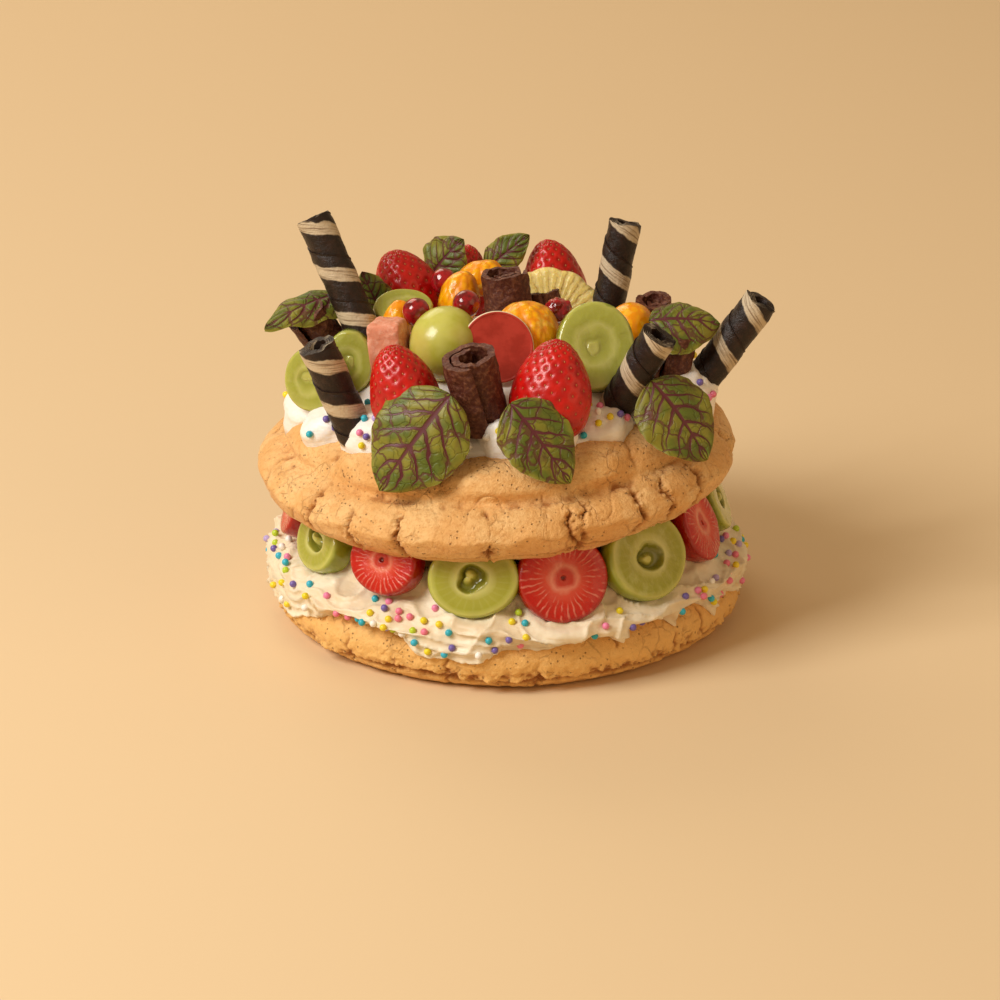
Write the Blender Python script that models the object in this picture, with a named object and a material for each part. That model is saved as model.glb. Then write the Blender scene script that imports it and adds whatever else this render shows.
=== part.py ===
"""Two-tier choux cake with cream, fruit, wafer rolls and leaves.

Sizes are in millimetres. The origin is on the table, under the middle of the base tier, with +Z up
and the front of the cake towards -Y. A bearing is an angle seen from above, 0 at the front and
growing towards +X. Meshes are turned into metres where they are made.
"""

import math
import random

import bmesh
import bpy
import numpy as np
from mathutils import Vector
from mathutils.bvhtree import BVHTree

METRES = 0.001

# Driving dimensions of the two tiers
TIER_RADIUS = 90.0
BASE_HEIGHT = 24.0
UPPER_BOTTOM = 46.0
UPPER_SHIFT_X = -3.8
UPPER_LEAN = 0.05
TOUCH_GAP = 0.35
FILLING_GAP = 0.6
MERGE_DISTANCE = 0.02
LEVEL_ANGLE = 2.5

# Outlines as radius and height, from the middle underneath to the middle on top
BASE_OUTLINE = (
    (74, 0.0), (81, 0.6), (86, 3.4), (89.0, 7.0), (90, 11), (89.2, 15), (86, 19), (80, 22), (64, BASE_HEIGHT),
)
UPPER_OUTLINE = (
    (64, 0.0), (75, 2.2), (83.5, 5.6), (88.6, 10.5), (90, 16), (89, 21.5), (85.5, 25.6), (80.5, 27.4),
    (79.6, 31.5), (77.2, 36.4), (71.5, 39.6), (60, 41.5),
)
BAND_RINGS = (2, 3, 4, 5, 6)
LOBE_RINGS = {7: -0.5, 8: 0.7, 9: 1.0, 10: 0.8, 11: 0.3}

# Cracks of the outer band and the valleys between the puffed lobes, as bearings in degrees
FRONT_CRACKS = (-97, -75, -51, -38, -24, -2, 18, 21, 36, 46, 57, 80)
BACK_CRACKS = 7
CRACK_HALF_WIDTH = 1.1
CRACK_DEPTH = 1.7
PLATE_BULGE = 0.7
LOBE_VALLEYS = (-95, -53, -15, 19, 41, 76, 110, 148, 180, 214, 240)
LOBE_BULGE = 4.8
VALLEY_DEPTH = 3.0
VALLEY_SPACE = 3.0

# The filling between the tiers, as radius and height of its outer face
FILLING_FACE = ((92.2, 18.0), (91.6, 22.0), (87.5, 25.2), (79, 30.0), (70, 39.5))
FILLING_EDGE_HIGH = 16.5
FILLING_EDGE_LOW = 7.0
FILLING_COLUMNS = 45
FILLING_LIP = 1.3
FILLING_LIP_RISE = 0.8
FILLING_TOP_RADIUS = 61.0
FILLING_FLOOR_RADIUS = 60.0
FILLING_BENDS = ((BASE_OUTLINE[5][1], 1.0), (BASE_OUTLINE[4][1], 0.4), (0.0, 0.0))

# The cream on top: a mound under the fruit, and a ring of piped dollops, each given by its bearing,
# distance from the middle, half depth, half width and rise
MOUND_TOP = 110.0
MOUND_FALL = 20.0
MOUND_RADIUS = 64.0
CREAM_SKIN = 0.9
INNER_RING = 30.0
CREAM_COLUMNS = 56
CREAM_ROOT_HEIGHT = UPPER_BOTTOM + 20.0
CREAM_ROOT_INSET = 9.0
CREAM_INNER_RADIUS = 50.0
CREAM_SHARES = (1.0, 0.94, 0.78, 0.55, 0.25)
SHOULDER_RADIUS = 77.5
LOBE_UNDER_CREAM = 0.6
DOLLOPS = (
    (-84, 70, 12.0, 14.0, 11.5), (-65, 68, 11.5, 12.0, 9.5), (-45, 64, 10.5, 16.0, 11.5),
    (-20, 62, 9.0, 12.0, 11.0), (2, 61, 9.5, 9.5, 12.0), (20, 61, 9.0, 9.0, 9.0),
    (40, 61, 9.5, 12.5, 8.0), (61, 64, 10.0, 11.0, 11.0), (83, 72, 11.5, 12.5, 12.0),
    (106, 66, 11.0, 12.0, 13.0), (130, 66, 10.0, 13.0, 12.0), (155, 64, 10.5, 11.0, 13.0),
    (179, 65, 10.0, 14.0, 12.5), (204, 64, 10.5, 11.5, 13.0), (228, 66, 10.0, 13.0, 12.0),
    (252, 67, 11.0, 12.0, 13.0),
)

# Sprinkles, spread by a seeded rule: how many, their lowest height, their inner radius, the share of them
# on the side of the cream, and the seed
SPRINKLE_RADIUS = 1.35
FILLING_SPRINKLES = (26, 9.0, 82.0, 0.6, 5)
TOP_SPRINKLES = (20, 84.0, 40.0, 0.0, 8)
SPRINKLE_DRAWS = 60
SPRINKLE_SPACING = 5.2
SPRINKLE_CLEAR = 1.7
SPRINKLE_STAND = 0.35
SIDE_START_RADIUS = 120.0
SIDE_TOP_HEIGHT = 32.0
ABOVE_HEIGHT = 200.0
EDGE_REACH = 6.0

# Colour, roughness and metallic value of each material
FINISHES = {
    "crust": ((0.80, 0.45, 0.17), 0.75),
    "filling": ((0.86, 0.72, 0.50), 0.45),
    "cream": ((0.90, 0.86, 0.74), 0.45),
    "wafer": ((0.025, 0.012, 0.008), 0.50),
    "chocolate": ((0.06, 0.018, 0.010), 0.55),
    "strawberry": ((0.55, 0.015, 0.012), 0.25),
    "leaf": ((0.13, 0.22, 0.03), 0.45),
    "grape": ((0.42, 0.48, 0.08), 0.20),
    "citrus": ((0.83, 0.33, 0.01), 0.30),
    "berry": ((0.25, 0.004, 0.010), 0.15),
    "pink": ((0.75, 0.30, 0.22), 0.55),
    "plaque": ((0.45, 0.035, 0.025), 0.35),
    "pineapple": ((0.80, 0.62, 0.18), 0.35),
}


def bearing_point(bearing, radius, height, centre_x=0.0):
    """Points at these bearings (degrees), radii and heights, round a vertical axis at centre_x."""
    angle = np.radians(bearing)
    x = centre_x + radius * np.sin(angle)
    y = -radius * np.cos(angle)
    return np.stack(np.broadcast_arrays(x, y, height), axis=-1)


def lean(points):
    """Lifts points towards +X, as the upper tier sits a little askew."""
    leant = np.array(points, dtype=float)
    leant[..., 2] += UPPER_LEAN * (leant[..., 0] - UPPER_SHIFT_X)
    return leant


def unit(vector):
    """The vector at length 1."""
    vector = np.asarray(vector, dtype=float)
    return vector / np.linalg.norm(vector)


def axes_from(along, towards):
    """Three unit axes: along is the third, and the second lies as near to towards as it can."""
    third = unit(along)
    second = np.asarray(towards, dtype=float)
    second = unit(second - third * np.dot(second, third))
    first = np.cross(second, third)
    return first, second, third


def material(name):
    """The named finish as a Principled material."""
    found = bpy.data.materials.get(name)
    if found:
        return found
    made = bpy.data.materials.new(name)
    made.use_nodes = True
    shader = made.node_tree.nodes["Principled BSDF"]
    colour, roughness = FINISHES[name]
    shader.inputs["Base Color"].default_value = (*colour, 1.0)
    shader.inputs["Roughness"].default_value = roughness
    shader.inputs["Metallic"].default_value = 0.0
    made.diffuse_color = (*colour, 1.0)
    return made


def add_object(name, points, faces, finish):
    """Makes a mesh object from points in millimetres."""
    mesh = bpy.data.meshes.new(name)
    mesh.from_pydata([tuple(point * METRES) for point in np.asarray(points, dtype=float)], [], faces)
    mesh.materials.append(material(finish))
    mesh.update()
    made = bpy.data.objects.new(name, mesh)
    bpy.context.scene.collection.objects.link(made)
    return made


def remove_object(obj):
    """Takes an object and its mesh out of the file."""
    mesh = obj.data
    bpy.data.objects.remove(obj)
    bpy.data.meshes.remove(mesh)


def ring_faces(rings, around, crossed):
    """Triangles between closed rings. The first crossed bands are split along the other diagonal."""
    faces = []
    for ring in range(rings - 1):
        low, high = ring * around, (ring + 1) * around
        for step in range(around):
            after = (step + 1) % around
            if ring < crossed:
                faces.append((low + step, low + after, high + step))
                faces.append((low + after, high + after, high + step))
            else:
                faces.append((low + step, low + after, high + after))
                faces.append((low + step, high + after, high + step))
    return faces


def ring_solid(name, rings, finish, first_pole=None, last_pole=None, crossed=0):
    """A closed solid through rings of points, closed at each end by a pole or by a flat face."""
    rings = np.asarray(rings, dtype=float)
    count, around = rings.shape[:2]
    points = list(rings.reshape(-1, 3))
    faces = ring_faces(count, around, crossed)
    last = (count - 1) * around
    if first_pole is None:
        faces.append(tuple(reversed(range(around))))
    else:
        points.append(first_pole)
        pole = len(points) - 1
        faces += [(pole, (step + 1) % around, step) for step in range(around)]
    if last_pole is None:
        faces.append(tuple(range(last, last + around)))
    else:
        points.append(last_pole)
        pole = len(points) - 1
        faces += [(pole, last + step, last + (step + 1) % around) for step in range(around)]
    return add_object(name, points, faces, finish)


def boolean(obj, operands, operation, solver="EXACT"):
    """Cuts or joins the operands, bakes the result and removes the operands."""
    group = bpy.data.collections.new("operands")
    bpy.context.scene.collection.children.link(group)
    for operand in operands:
        group.objects.link(operand)
    modifier = obj.modifiers.new("shape", "BOOLEAN")
    modifier.operation = operation
    modifier.operand_type = "COLLECTION"
    modifier.collection = group
    modifier.solver = solver
    evaluated = obj.evaluated_get(bpy.context.evaluated_depsgraph_get())
    baked = bpy.data.meshes.new_from_object(evaluated)
    obj.modifiers.clear()
    worn = obj.data
    obj.data = baked
    bpy.data.meshes.remove(worn)
    for operand in operands:
        remove_object(operand)
    bpy.data.collections.remove(group)


def body_of(seed, seen):
    """All the vertices joined to this one."""
    body = {seed}
    border = [seed]
    while border:
        vertex = border.pop()
        for edge in vertex.link_edges:
            other = edge.other_vert(vertex)
            if other not in body:
                body.add(other)
                border.append(other)
    seen |= body
    return body


def keep_largest_body(obj, level_angle=0.0):
    """Merges doubled points and nearly level faces, splits faces into triangles and drops loose scraps."""
    mesh = obj.data
    work = bmesh.new()
    work.from_mesh(mesh)
    bmesh.ops.remove_doubles(work, verts=work.verts, dist=MERGE_DISTANCE * METRES)
    if level_angle:
        angle = math.radians(level_angle)
        bmesh.ops.dissolve_limit(work, angle_limit=angle, verts=work.verts, edges=work.edges)
    bmesh.ops.triangulate(work, faces=work.faces)
    seen = set()
    bodies = [body_of(vertex, seen) for vertex in work.verts if vertex not in seen]
    largest = max(bodies, key=len)
    scraps = [vertex for vertex in work.verts if vertex not in largest]
    bmesh.ops.delete(work, geom=scraps, context="VERTS")
    work.to_mesh(mesh)
    work.free()


def smooth(obj, crease=38.0):
    """Shades the object smooth, apart from edges sharper than the crease angle in degrees."""
    obj.data.shade_smooth()
    obj.data.set_sharp_from_angle(angle=math.radians(crease))


class Crust:
    """A baked choux tier: an outline turned round the tier's axis, with relief pressed into it."""

    def __init__(self, outline, bearings, centre_x, bottom, leans):
        self.outline = np.array(outline, dtype=float)
        self.bearings = np.array(bearings, dtype=float)
        self.centre_x = centre_x
        self.bottom = bottom
        self.leans = leans
        self.relief = np.zeros((len(self.outline), len(self.bearings)))

    def normals(self):
        """Outward directions of the outline, as radius and height."""
        tangent = np.gradient(self.outline, axis=0)
        tangent /= np.linalg.norm(tangent, axis=1, keepdims=True)
        return np.stack([tangent[:, 1], -tangent[:, 0]], axis=1)

    def rings(self, grow=0.0):
        """One closed ring of points for each point of the outline. A grown tier has its cracks filled."""
        normal = self.normals()
        relief = self.relief
        if grow:
            relief = np.maximum(relief, np.maximum(np.roll(relief, 1, axis=1), np.roll(relief, -1, axis=1)))
        shift = relief + grow
        radius = self.outline[:, :1] + normal[:, :1] * shift
        height = self.bottom + self.outline[:, 1:] + normal[:, 1:] * shift
        points = bearing_point(self.bearings[None, :], radius, height, self.centre_x)
        return lean(points) if self.leans else points

    def top_pole(self, grow=0.0):
        """The middle of the top."""
        point = np.array([self.centre_x, 0.0, self.bottom + self.outline[-1, 1] + grow])
        return lean(point) if self.leans else point

    def build(self, name, grow=0.0):
        """The tier as a solid with a flat face underneath."""
        return ring_solid(name, self.rings(grow), "crust", None, self.top_pole(grow))


def crack_bearings():
    """Bearings of all cracks: the front ones as they show, then an uneven run round the back."""
    rng = random.Random(11)
    start, end = FRONT_CRACKS[-1], FRONT_CRACKS[0] + 360
    step = (end - start) / (BACK_CRACKS + 1)
    back = [start + step * (index + 1) + rng.uniform(-0.2, 0.2) * step for index in range(BACK_CRACKS)]
    return list(FRONT_CRACKS) + back


def crack_columns(cracks):
    """Columns of points: three close ones at each crack, one on each plate, and one in each valley."""
    columns = []
    kinds = []
    for index, crack in enumerate(cracks):
        after = cracks[(index + 1) % len(cracks)] + (360 if index + 1 == len(cracks) else 0)
        columns += [crack - CRACK_HALF_WIDTH, crack, crack + CRACK_HALF_WIDTH]
        kinds += [0.0, -1.0, 0.0]
        if after - crack > 6:
            columns.append((crack + after) / 2)
            kinds.append(1.0)
    for valley in LOBE_VALLEYS:
        if min(abs(valley - column) for column in columns) > VALLEY_SPACE:
            columns.append(valley)
            kinds.append(0.5)
    order = np.argsort(columns)
    return np.array(columns, dtype=float)[order], np.array(kinds)[order]


def lobe_height(bearings):
    """Relief of the puffed ring: low in the valleys, full in the middle of each lobe."""
    valleys = np.array(LOBE_VALLEYS + (LOBE_VALLEYS[0] + 360,), dtype=float)
    turned = (np.asarray(bearings) - valleys[0]) % 360 + valleys[0]
    index = np.clip(np.searchsorted(valleys, turned, side="right") - 1, 0, len(valleys) - 2)
    across = (turned - valleys[index]) / (valleys[index + 1] - valleys[index])
    return LOBE_BULGE * np.sqrt(np.sin(np.pi * np.clip(across, 0, 1))) - VALLEY_DEPTH


def make_upper_crust():
    """The upper tier: a cracked outer band, a groove, and a ring of puffed lobes inside it."""
    columns, kinds = crack_columns(crack_bearings())
    crust = Crust(UPPER_OUTLINE, columns, UPPER_SHIFT_X, UPPER_BOTTOM, True)
    plates = np.where(kinds < 0, -CRACK_DEPTH, np.where(kinds > 0, PLATE_BULGE, 0.0))
    for ring in BAND_RINGS:
        crust.relief[ring] = plates
    for ring, share in LOBE_RINGS.items():
        crust.relief[ring] = share * lobe_height(columns)
    return crust


def make_base_crust():
    """The base tier: a rounded rim with an uneven groove low on its side."""
    bearings = np.arange(FILLING_COLUMNS) * 360.0 / FILLING_COLUMNS
    crust = Crust(BASE_OUTLINE, bearings, 0.0, 0.0, False)
    turn = np.radians(bearings)
    crust.relief[2] = -0.9 - 0.5 * np.sin(5 * turn + 1.0)
    crust.relief[3] = 0.4 * np.sin(7 * turn) - 0.3
    crust.relief[4] = 0.5 * np.sin(9 * turn + 2.0) - 0.3
    return crust


def filling_edge(bearings):
    """Height of the ragged lower edge of the filling, with a few long runs."""
    turn = np.radians(bearings)
    wave = 0.5 + 0.22 * np.sin(3 * turn + 0.6) + 0.18 * np.sin(8 * turn + 1.9) + 0.16 * np.sin(15 * turn)
    return FILLING_EDGE_LOW + (FILLING_EDGE_HIGH - FILLING_EDGE_LOW) * np.clip(wave, 0, 1)


def filling_rings(base, grow=0.0):
    """Rings of the filling, from the middle underneath, out over the rim of the base and back on top."""
    bearings = base.bearings
    inner = base.rings(FILLING_GAP)[::-1]
    edge = filling_edge(bearings)
    rings = [ring for ring in inner[:3]]
    side = inner[:1:-1]
    for bend, above in FILLING_BENDS:
        wanted = np.maximum(edge + above, bend)
        ring = np.empty_like(rings[0])
        for column, height in enumerate(wanted):
            ring[column] = [np.interp(height, side[:, column, 2], side[:, column, axis]) for axis in range(3)]
        rings.append(ring)
    outward = bearing_point(bearings, 1.0, 0.0)
    lip = rings[-1] + outward * FILLING_LIP
    rings.append(lip + np.array([0.0, 0.0, FILLING_LIP_RISE]))
    turn = np.radians(bearings)
    for index, (radius, height) in enumerate(FILLING_FACE):
        swell = 0.8 * np.sin(6 * turn + index) + 0.5 * np.sin(11 * turn + 2 * index)
        swell *= 0.2 if index > 2 else 1.0
        ring = bearing_point(bearings, radius + swell + grow, height + grow)
        if index >= 3:
            ring[:, 2] += UPPER_LEAN * (ring[:, 0] - UPPER_SHIFT_X) * (index - 2) / 3
        rings.append(ring)
    top = bearing_point(bearings, FILLING_TOP_RADIUS, UPPER_BOTTOM - TOUCH_GAP + grow)
    rings.append(lean(top))
    return rings


def make_filling(base, name="filling_cream", grow=0.0):
    """The buttercream that fills the gap between the tiers and runs over the rim of the base."""
    rings = filling_rings(base, grow)
    if grow:
        floor = bearing_point(base.bearings, FILLING_FLOOR_RADIUS, 0.0)
        rings = [floor] + rings[6:]
    below = np.array([0.0, 0.0, 0.0 if grow else BASE_HEIGHT + FILLING_GAP])
    above = lean(np.array([0.0, 0.0, UPPER_BOTTOM - TOUCH_GAP + grow]))
    return ring_solid(name, rings, "filling", below, above, 0 if grow else 5)


def dollop_spread(bearings, radius, dollop):
    """How far points lie from a dollop's middle: 0 in the middle and 1 at its edge."""
    bearing, distance, deep, wide, _ = dollop
    angle = np.radians(bearings - bearing)
    return np.hypot((radius * np.cos(angle) - distance) / deep, radius * np.sin(angle) / wide)


def dollop_reach(bearings):
    """How far out the cream reaches at each bearing."""
    reach = np.full(len(bearings), MOUND_RADIUS)
    for radius in np.arange(MOUND_RADIUS, TIER_RADIUS, 0.5):
        for dollop in DOLLOPS:
            reach = np.where(dollop_spread(bearings, radius, dollop) < 1, radius, reach)
    return reach


def cream_height(bearings, radius, crust_height):
    """Top of the cream over the crust: the mound or the highest dollop."""
    mound = MOUND_TOP - MOUND_FALL * (radius / MOUND_RADIUS) ** 2
    height = np.where(radius <= MOUND_RADIUS + 2, mound, crust_height + CREAM_SKIN)
    for dollop in DOLLOPS:
        dome = np.sqrt(np.clip(1 - dollop_spread(bearings, radius, dollop) ** 4, 0, 1))
        height = np.maximum(height, np.where(dome > 0, crust_height + dollop[-1] * dome, 0))
    return np.maximum(height, crust_height + CREAM_SKIN)


def crust_top_height(crust, bearings, radius):
    """Height of the crust's upper side at these bearings and radii, without its lean."""
    radius = np.minimum(radius, SHOULDER_RADIUS)
    inward = crust.outline[:6:-1]
    shares = [LOBE_RINGS.get(ring, 0.0) for ring in range(len(crust.outline))][:6:-1]
    plain = np.interp(radius, inward[:, 0], inward[:, 1])
    lobes = LOBE_UNDER_CREAM * np.interp(radius, inward[:, 0], shares) * lobe_height(bearings)
    return crust.bottom + plain + lobes


def make_top_cream(crust, name="top_cream", grow=0.0):
    """The cream on the upper tier, which reaches down into the crust until it is cut free of it."""
    bearings = np.arange(CREAM_COLUMNS) * 360.0 / CREAM_COLUMNS
    reach = dollop_reach(bearings)
    rings = [bearing_point(bearings, reach - CREAM_ROOT_INSET, CREAM_ROOT_HEIGHT, UPPER_SHIFT_X)]
    for share in CREAM_SHARES:
        radius = CREAM_INNER_RADIUS + (reach - CREAM_INNER_RADIUS) * share
        level = crust_top_height(crust, bearings, radius)
        rim = share == 1.0
        height = level + CREAM_SKIN if rim else cream_height(bearings, radius, level)
        outward = grow if share > 0.9 else 0.0
        upward = -2 * grow if rim else 2 * grow
        rings.append(bearing_point(bearings, radius + outward, height + upward, UPPER_SHIFT_X))
    height = MOUND_TOP - MOUND_FALL * (INNER_RING / MOUND_RADIUS) ** 2
    rings.append(bearing_point(bearings, INNER_RING, height + 2 * grow, UPPER_SHIFT_X))
    below = np.array([UPPER_SHIFT_X, 0.0, CREAM_ROOT_HEIGHT])
    above = np.array([UPPER_SHIFT_X, 0.0, MOUND_TOP + 2 * grow])
    return ring_solid(name, [lean(ring) for ring in rings], "cream", lean(below), above)


def turned(name, finish, start, along, towards, stations, radii, around, grow=0.0, squash=1.0):
    """A solid turned about a line: radii at stations along it, ending in poles where the radius is 0."""
    first, second, third = axes_from(along, towards)
    angle = np.arange(around) * 2 * np.pi / around
    rings = []
    poles = [None, None]
    for index, (station, radius) in enumerate(zip(stations, radii)):
        if radius == 0:
            side = 0 if index == 0 else 1
            poles[side] = np.asarray(start) + third * (station + (grow if side else -grow))
            continue
        size = radius + grow
        circle = first * np.cos(angle)[:, None] * size + second * np.sin(angle)[:, None] * size * squash
        rings.append(np.asarray(start) + third * station + circle)
    return ring_solid(name, rings, finish, poles[0], poles[1])


# Turned outline of a strawberry from its broad end to its tip, as shares of length and radius
STRAWBERRY_STATIONS = (0.0, 0.05, 0.18, 0.38, 0.62, 0.82, 0.94, 1.0)
STRAWBERRY_RADII = (0.0, 0.56, 0.87, 1.0, 0.93, 0.70, 0.42, 0.0)


def strawberry(name, centre, along, radius, length, grow=0.0):
    """A whole strawberry whose tip points along the given direction."""
    start = np.asarray(centre) - unit(along) * length * 0.45
    stations = [share * length for share in STRAWBERRY_STATIONS]
    radii = [share * radius for share in STRAWBERRY_RADII]
    return turned(name, "strawberry", start, along, (0, -1, 0.1), stations, radii, 12, grow)


def ellipsoid(name, finish, centre, along, radius, half_length, around=10, levels=6, grow=0.0, squash=1.0):
    """A ball or egg about the given direction."""
    turn = np.linspace(0, np.pi, levels + 1)
    stations = [half_length * (1 - math.cos(value)) for value in turn]
    radii = [0.0 if index in (0, levels) else radius * math.sin(value) for index, value in enumerate(turn)]
    start = np.asarray(centre) - unit(along) * half_length
    return turned(name, finish, start, along, (0.1, -1, 0.2), stations, radii, around, grow, squash)


def cut_fruit(name, finish, centre, facing, half_width, half_height, depth, back_share, grow=0.0):
    """A cut piece of fruit: a flat face that looks along facing, and a back that narrows to its share."""
    outward = unit(facing)
    first, second, _ = axes_from(outward, (0, 0, 1))
    angle = np.arange(FRUIT_SIDES) * 2 * np.pi / FRUIT_SIDES
    rings = []
    for share, back, forward in ((back_share, depth, -grow), (1.0, depth * 0.38, 0.0), (0.96, 0.0, grow)):
        wide, high = half_width * share + grow, half_height * share + grow
        circle = first * np.cos(angle)[:, None] * wide + second * np.sin(angle)[:, None] * high
        rings.append(np.asarray(centre) + outward * (forward - back) + circle)
    return ring_solid(name, rings, finish)


ROLL_SIDES = 11
ROLL_SQUASH = 0.96
ROLL_LIP = 0.6
ROLL_HOLLOW = 5.0


def wafer_roll(name, bottom, top, radius, grow=0.0):
    """A rolled wafer stick with an open end."""
    bottom, top = np.asarray(bottom, dtype=float), np.asarray(top, dtype=float)
    length = float(np.linalg.norm(top - bottom))
    stations = [0.0, length * 0.5, length]
    radii = [radius * 0.97, radius, radius * 0.98]
    if not grow:
        stations += [length - ROLL_LIP, length - ROLL_HOLLOW]
        radii += [radius * 0.62, radius * 0.55]
    along = top - bottom
    return turned(name, "wafer", bottom, along, (0, -1, 0), stations, radii, ROLL_SIDES, grow, ROLL_SQUASH)


CURL_PLAY = 0.9
CURL_SIDES = 14


def chocolate_curl(name, bottom, top, radius, wall, turns, lap, grow=0.0):
    """A curl of chocolate: a strip rolled into a spiral, whose outer end starts at the lap bearing."""
    bottom, top = np.asarray(bottom, dtype=float), np.asarray(top, dtype=float)
    length = float(np.linalg.norm(top - bottom))
    if grow:
        return turned(name, "chocolate", bottom - unit(top - bottom) * grow, top - bottom, (0, -1, 0),
                      [0.0, length + 2 * grow], [radius, radius], CURL_SIDES, grow)
    first, second, third = axes_from(top - bottom, (0, -1, 0))
    count = 6 + int(5 * turns)
    wound = np.linspace(0, 1, count)
    angle = np.radians(lap) - wound * turns * 2 * np.pi
    outer = radius - wound * turns * (wall + CURL_PLAY)
    inner = outer - wall
    direction = first * np.cos(angle)[:, None] + second * np.sin(angle)[:, None]
    low = np.concatenate([direction * outer[:, None], (direction * inner[:, None])[::-1]]) + bottom
    high = low + third * length
    points = np.concatenate([low, high])
    ring = 2 * count
    faces = [(step, step + ring, (step + 1) % ring + ring, (step + 1) % ring) for step in range(ring)]
    for step in range(count - 1):
        near, far = step, ring - 1 - step
        faces.append((near, near + 1, far - 1, far))
        faces.append((near + ring, far + ring, far - 1 + ring, near + 1 + ring))
    return add_object(name, points, faces, "chocolate")


# Half width of a leaf from its stalk to its tip, as shares
LEAF_STATIONS = (0.06, 0.22, 0.44, 0.68, 0.88)
LEAF_WIDTHS = (0.50, 0.90, 1.0, 0.84, 0.48)
LEAF_ACROSS = (-1.0, -0.5, 0.0, 0.5, 1.0)
LEAF_THICKNESS = 0.8
LEAF_WAVE = 0.5


def leaf(name, stalk, tip, facing, width, bulge, cup):
    """A thin wavy leaf: it bulges between stalk and tip, and its sides curl back by the cup."""
    stalk, tip = np.asarray(stalk, dtype=float), np.asarray(tip, dtype=float)
    first, outward, along = axes_from(tip - stalk, facing)
    length = float(np.linalg.norm(tip - stalk))
    upper = []
    for station, share in zip(LEAF_STATIONS, LEAF_WIDTHS):
        for across in LEAF_ACROSS:
            wave = LEAF_WAVE * math.sin(7 * station + 3 * across)
            rise = bulge * 4 * station * (1 - station) - cup * across * across * share + wave * abs(across)
            middle = stalk + along * length * station
            upper.append(middle + first * across * share * width / 2 + outward * rise)
    upper += [stalk, tip]
    lower = [point - outward * LEAF_THICKNESS for point in upper]
    rows, wide = len(LEAF_STATIONS), len(LEAF_ACROSS)
    size = len(upper)
    start, end = size - 2, size - 1
    skin = []
    for row in range(rows - 1):
        for step in range(wide - 1):
            a, b = row * wide + step, row * wide + step + 1
            skin += [(a, b, b + wide), (a, b + wide, a + wide)]
    for step in range(wide - 1):
        skin.append((start, step + 1, step))
        skin.append((end, (rows - 1) * wide + step, (rows - 1) * wide + step + 1))
    near_side = [row * wide for row in range(rows)]
    far_side = [row * wide + wide - 1 for row in reversed(range(rows))]
    rim = [start, *near_side, end, *far_side]
    faces = [tuple(reversed(face)) for face in skin]
    faces += [tuple(index + size for index in face) for face in skin]
    for here, after in zip(rim, rim[1:] + rim[:1]):
        faces.append((here, after, after + size, here + size))
    made = add_object(name, upper + lower, faces, "leaf")
    work = bmesh.new()
    work.from_mesh(made.data)
    bmesh.ops.recalc_face_normals(work, faces=work.faces)
    work.to_mesh(made.data)
    work.free()
    return made


BLOCK_EDGE = 1.6


def block(name, centre, along, towards, size, grow=0.0):
    """A soft-edged block."""
    first, second, third = axes_from(along, towards)
    half = np.asarray(size, dtype=float) / 2 + grow
    rings = []
    for level, inset in ((-1, BLOCK_EDGE), (-1, 0.0), (1, 0.0), (1, BLOCK_EDGE)):
        height = level * (half[2] - (0 if inset else BLOCK_EDGE))
        wide, deep = half[0] - inset, half[1] - inset
        corner = BLOCK_EDGE * 0.9
        outline = (
            (wide, -deep + corner), (wide, deep - corner), (wide - corner, deep), (-wide + corner, deep),
            (-wide, deep - corner), (-wide, -deep + corner), (-wide + corner, -deep), (wide - corner, -deep),
        )
        rings.append([np.asarray(centre) + first * x + second * y + third * height for x, y in outline])
    return ring_solid(name, rings, "pink")


PLAQUE_SIDES = 26


def plaque(name, centre, facing, radius, thickness, grow=0.0):
    """A thin round plaque that stands on its edge."""
    outward = unit(facing)
    start = np.asarray(centre) - outward * (thickness + grow)
    stations = [0.0, thickness + 2 * grow]
    return turned(name, "plaque", start, outward, (0, 0, 1), stations, [radius, radius], PLAQUE_SIDES, grow)


SCALLOP_DEPTH = 0.9
SLICE_OVERRUN = 0.08


def pineapple_slice(name, centre, facing, radius, core, thickness, scallops, grow=0.0):
    """A half ring of pineapple with a scalloped outer edge, standing on its cut ends."""
    outward = unit(facing)
    first, second, _ = axes_from(outward, (0, 0, 1))
    count = 3 * scallops + 1
    turn = np.linspace(-SLICE_OVERRUN * np.pi, (1 + SLICE_OVERRUN) * np.pi, count)
    scallop = np.abs(np.sin(np.linspace(0, np.pi * scallops, count))) - 0.5
    wide = radius + grow + SCALLOP_DEPTH * scallop
    direction = first * np.cos(turn)[:, None] + second * np.sin(turn)[:, None]
    outer = direction * wide[:, None]
    inner = (direction * (core - grow))[::3][::-1]
    outline = np.concatenate([outer, inner]) + np.asarray(centre)
    back = outline - outward * (thickness + grow)
    return ring_solid(name, [back, outline + outward * grow], "pineapple")


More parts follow.
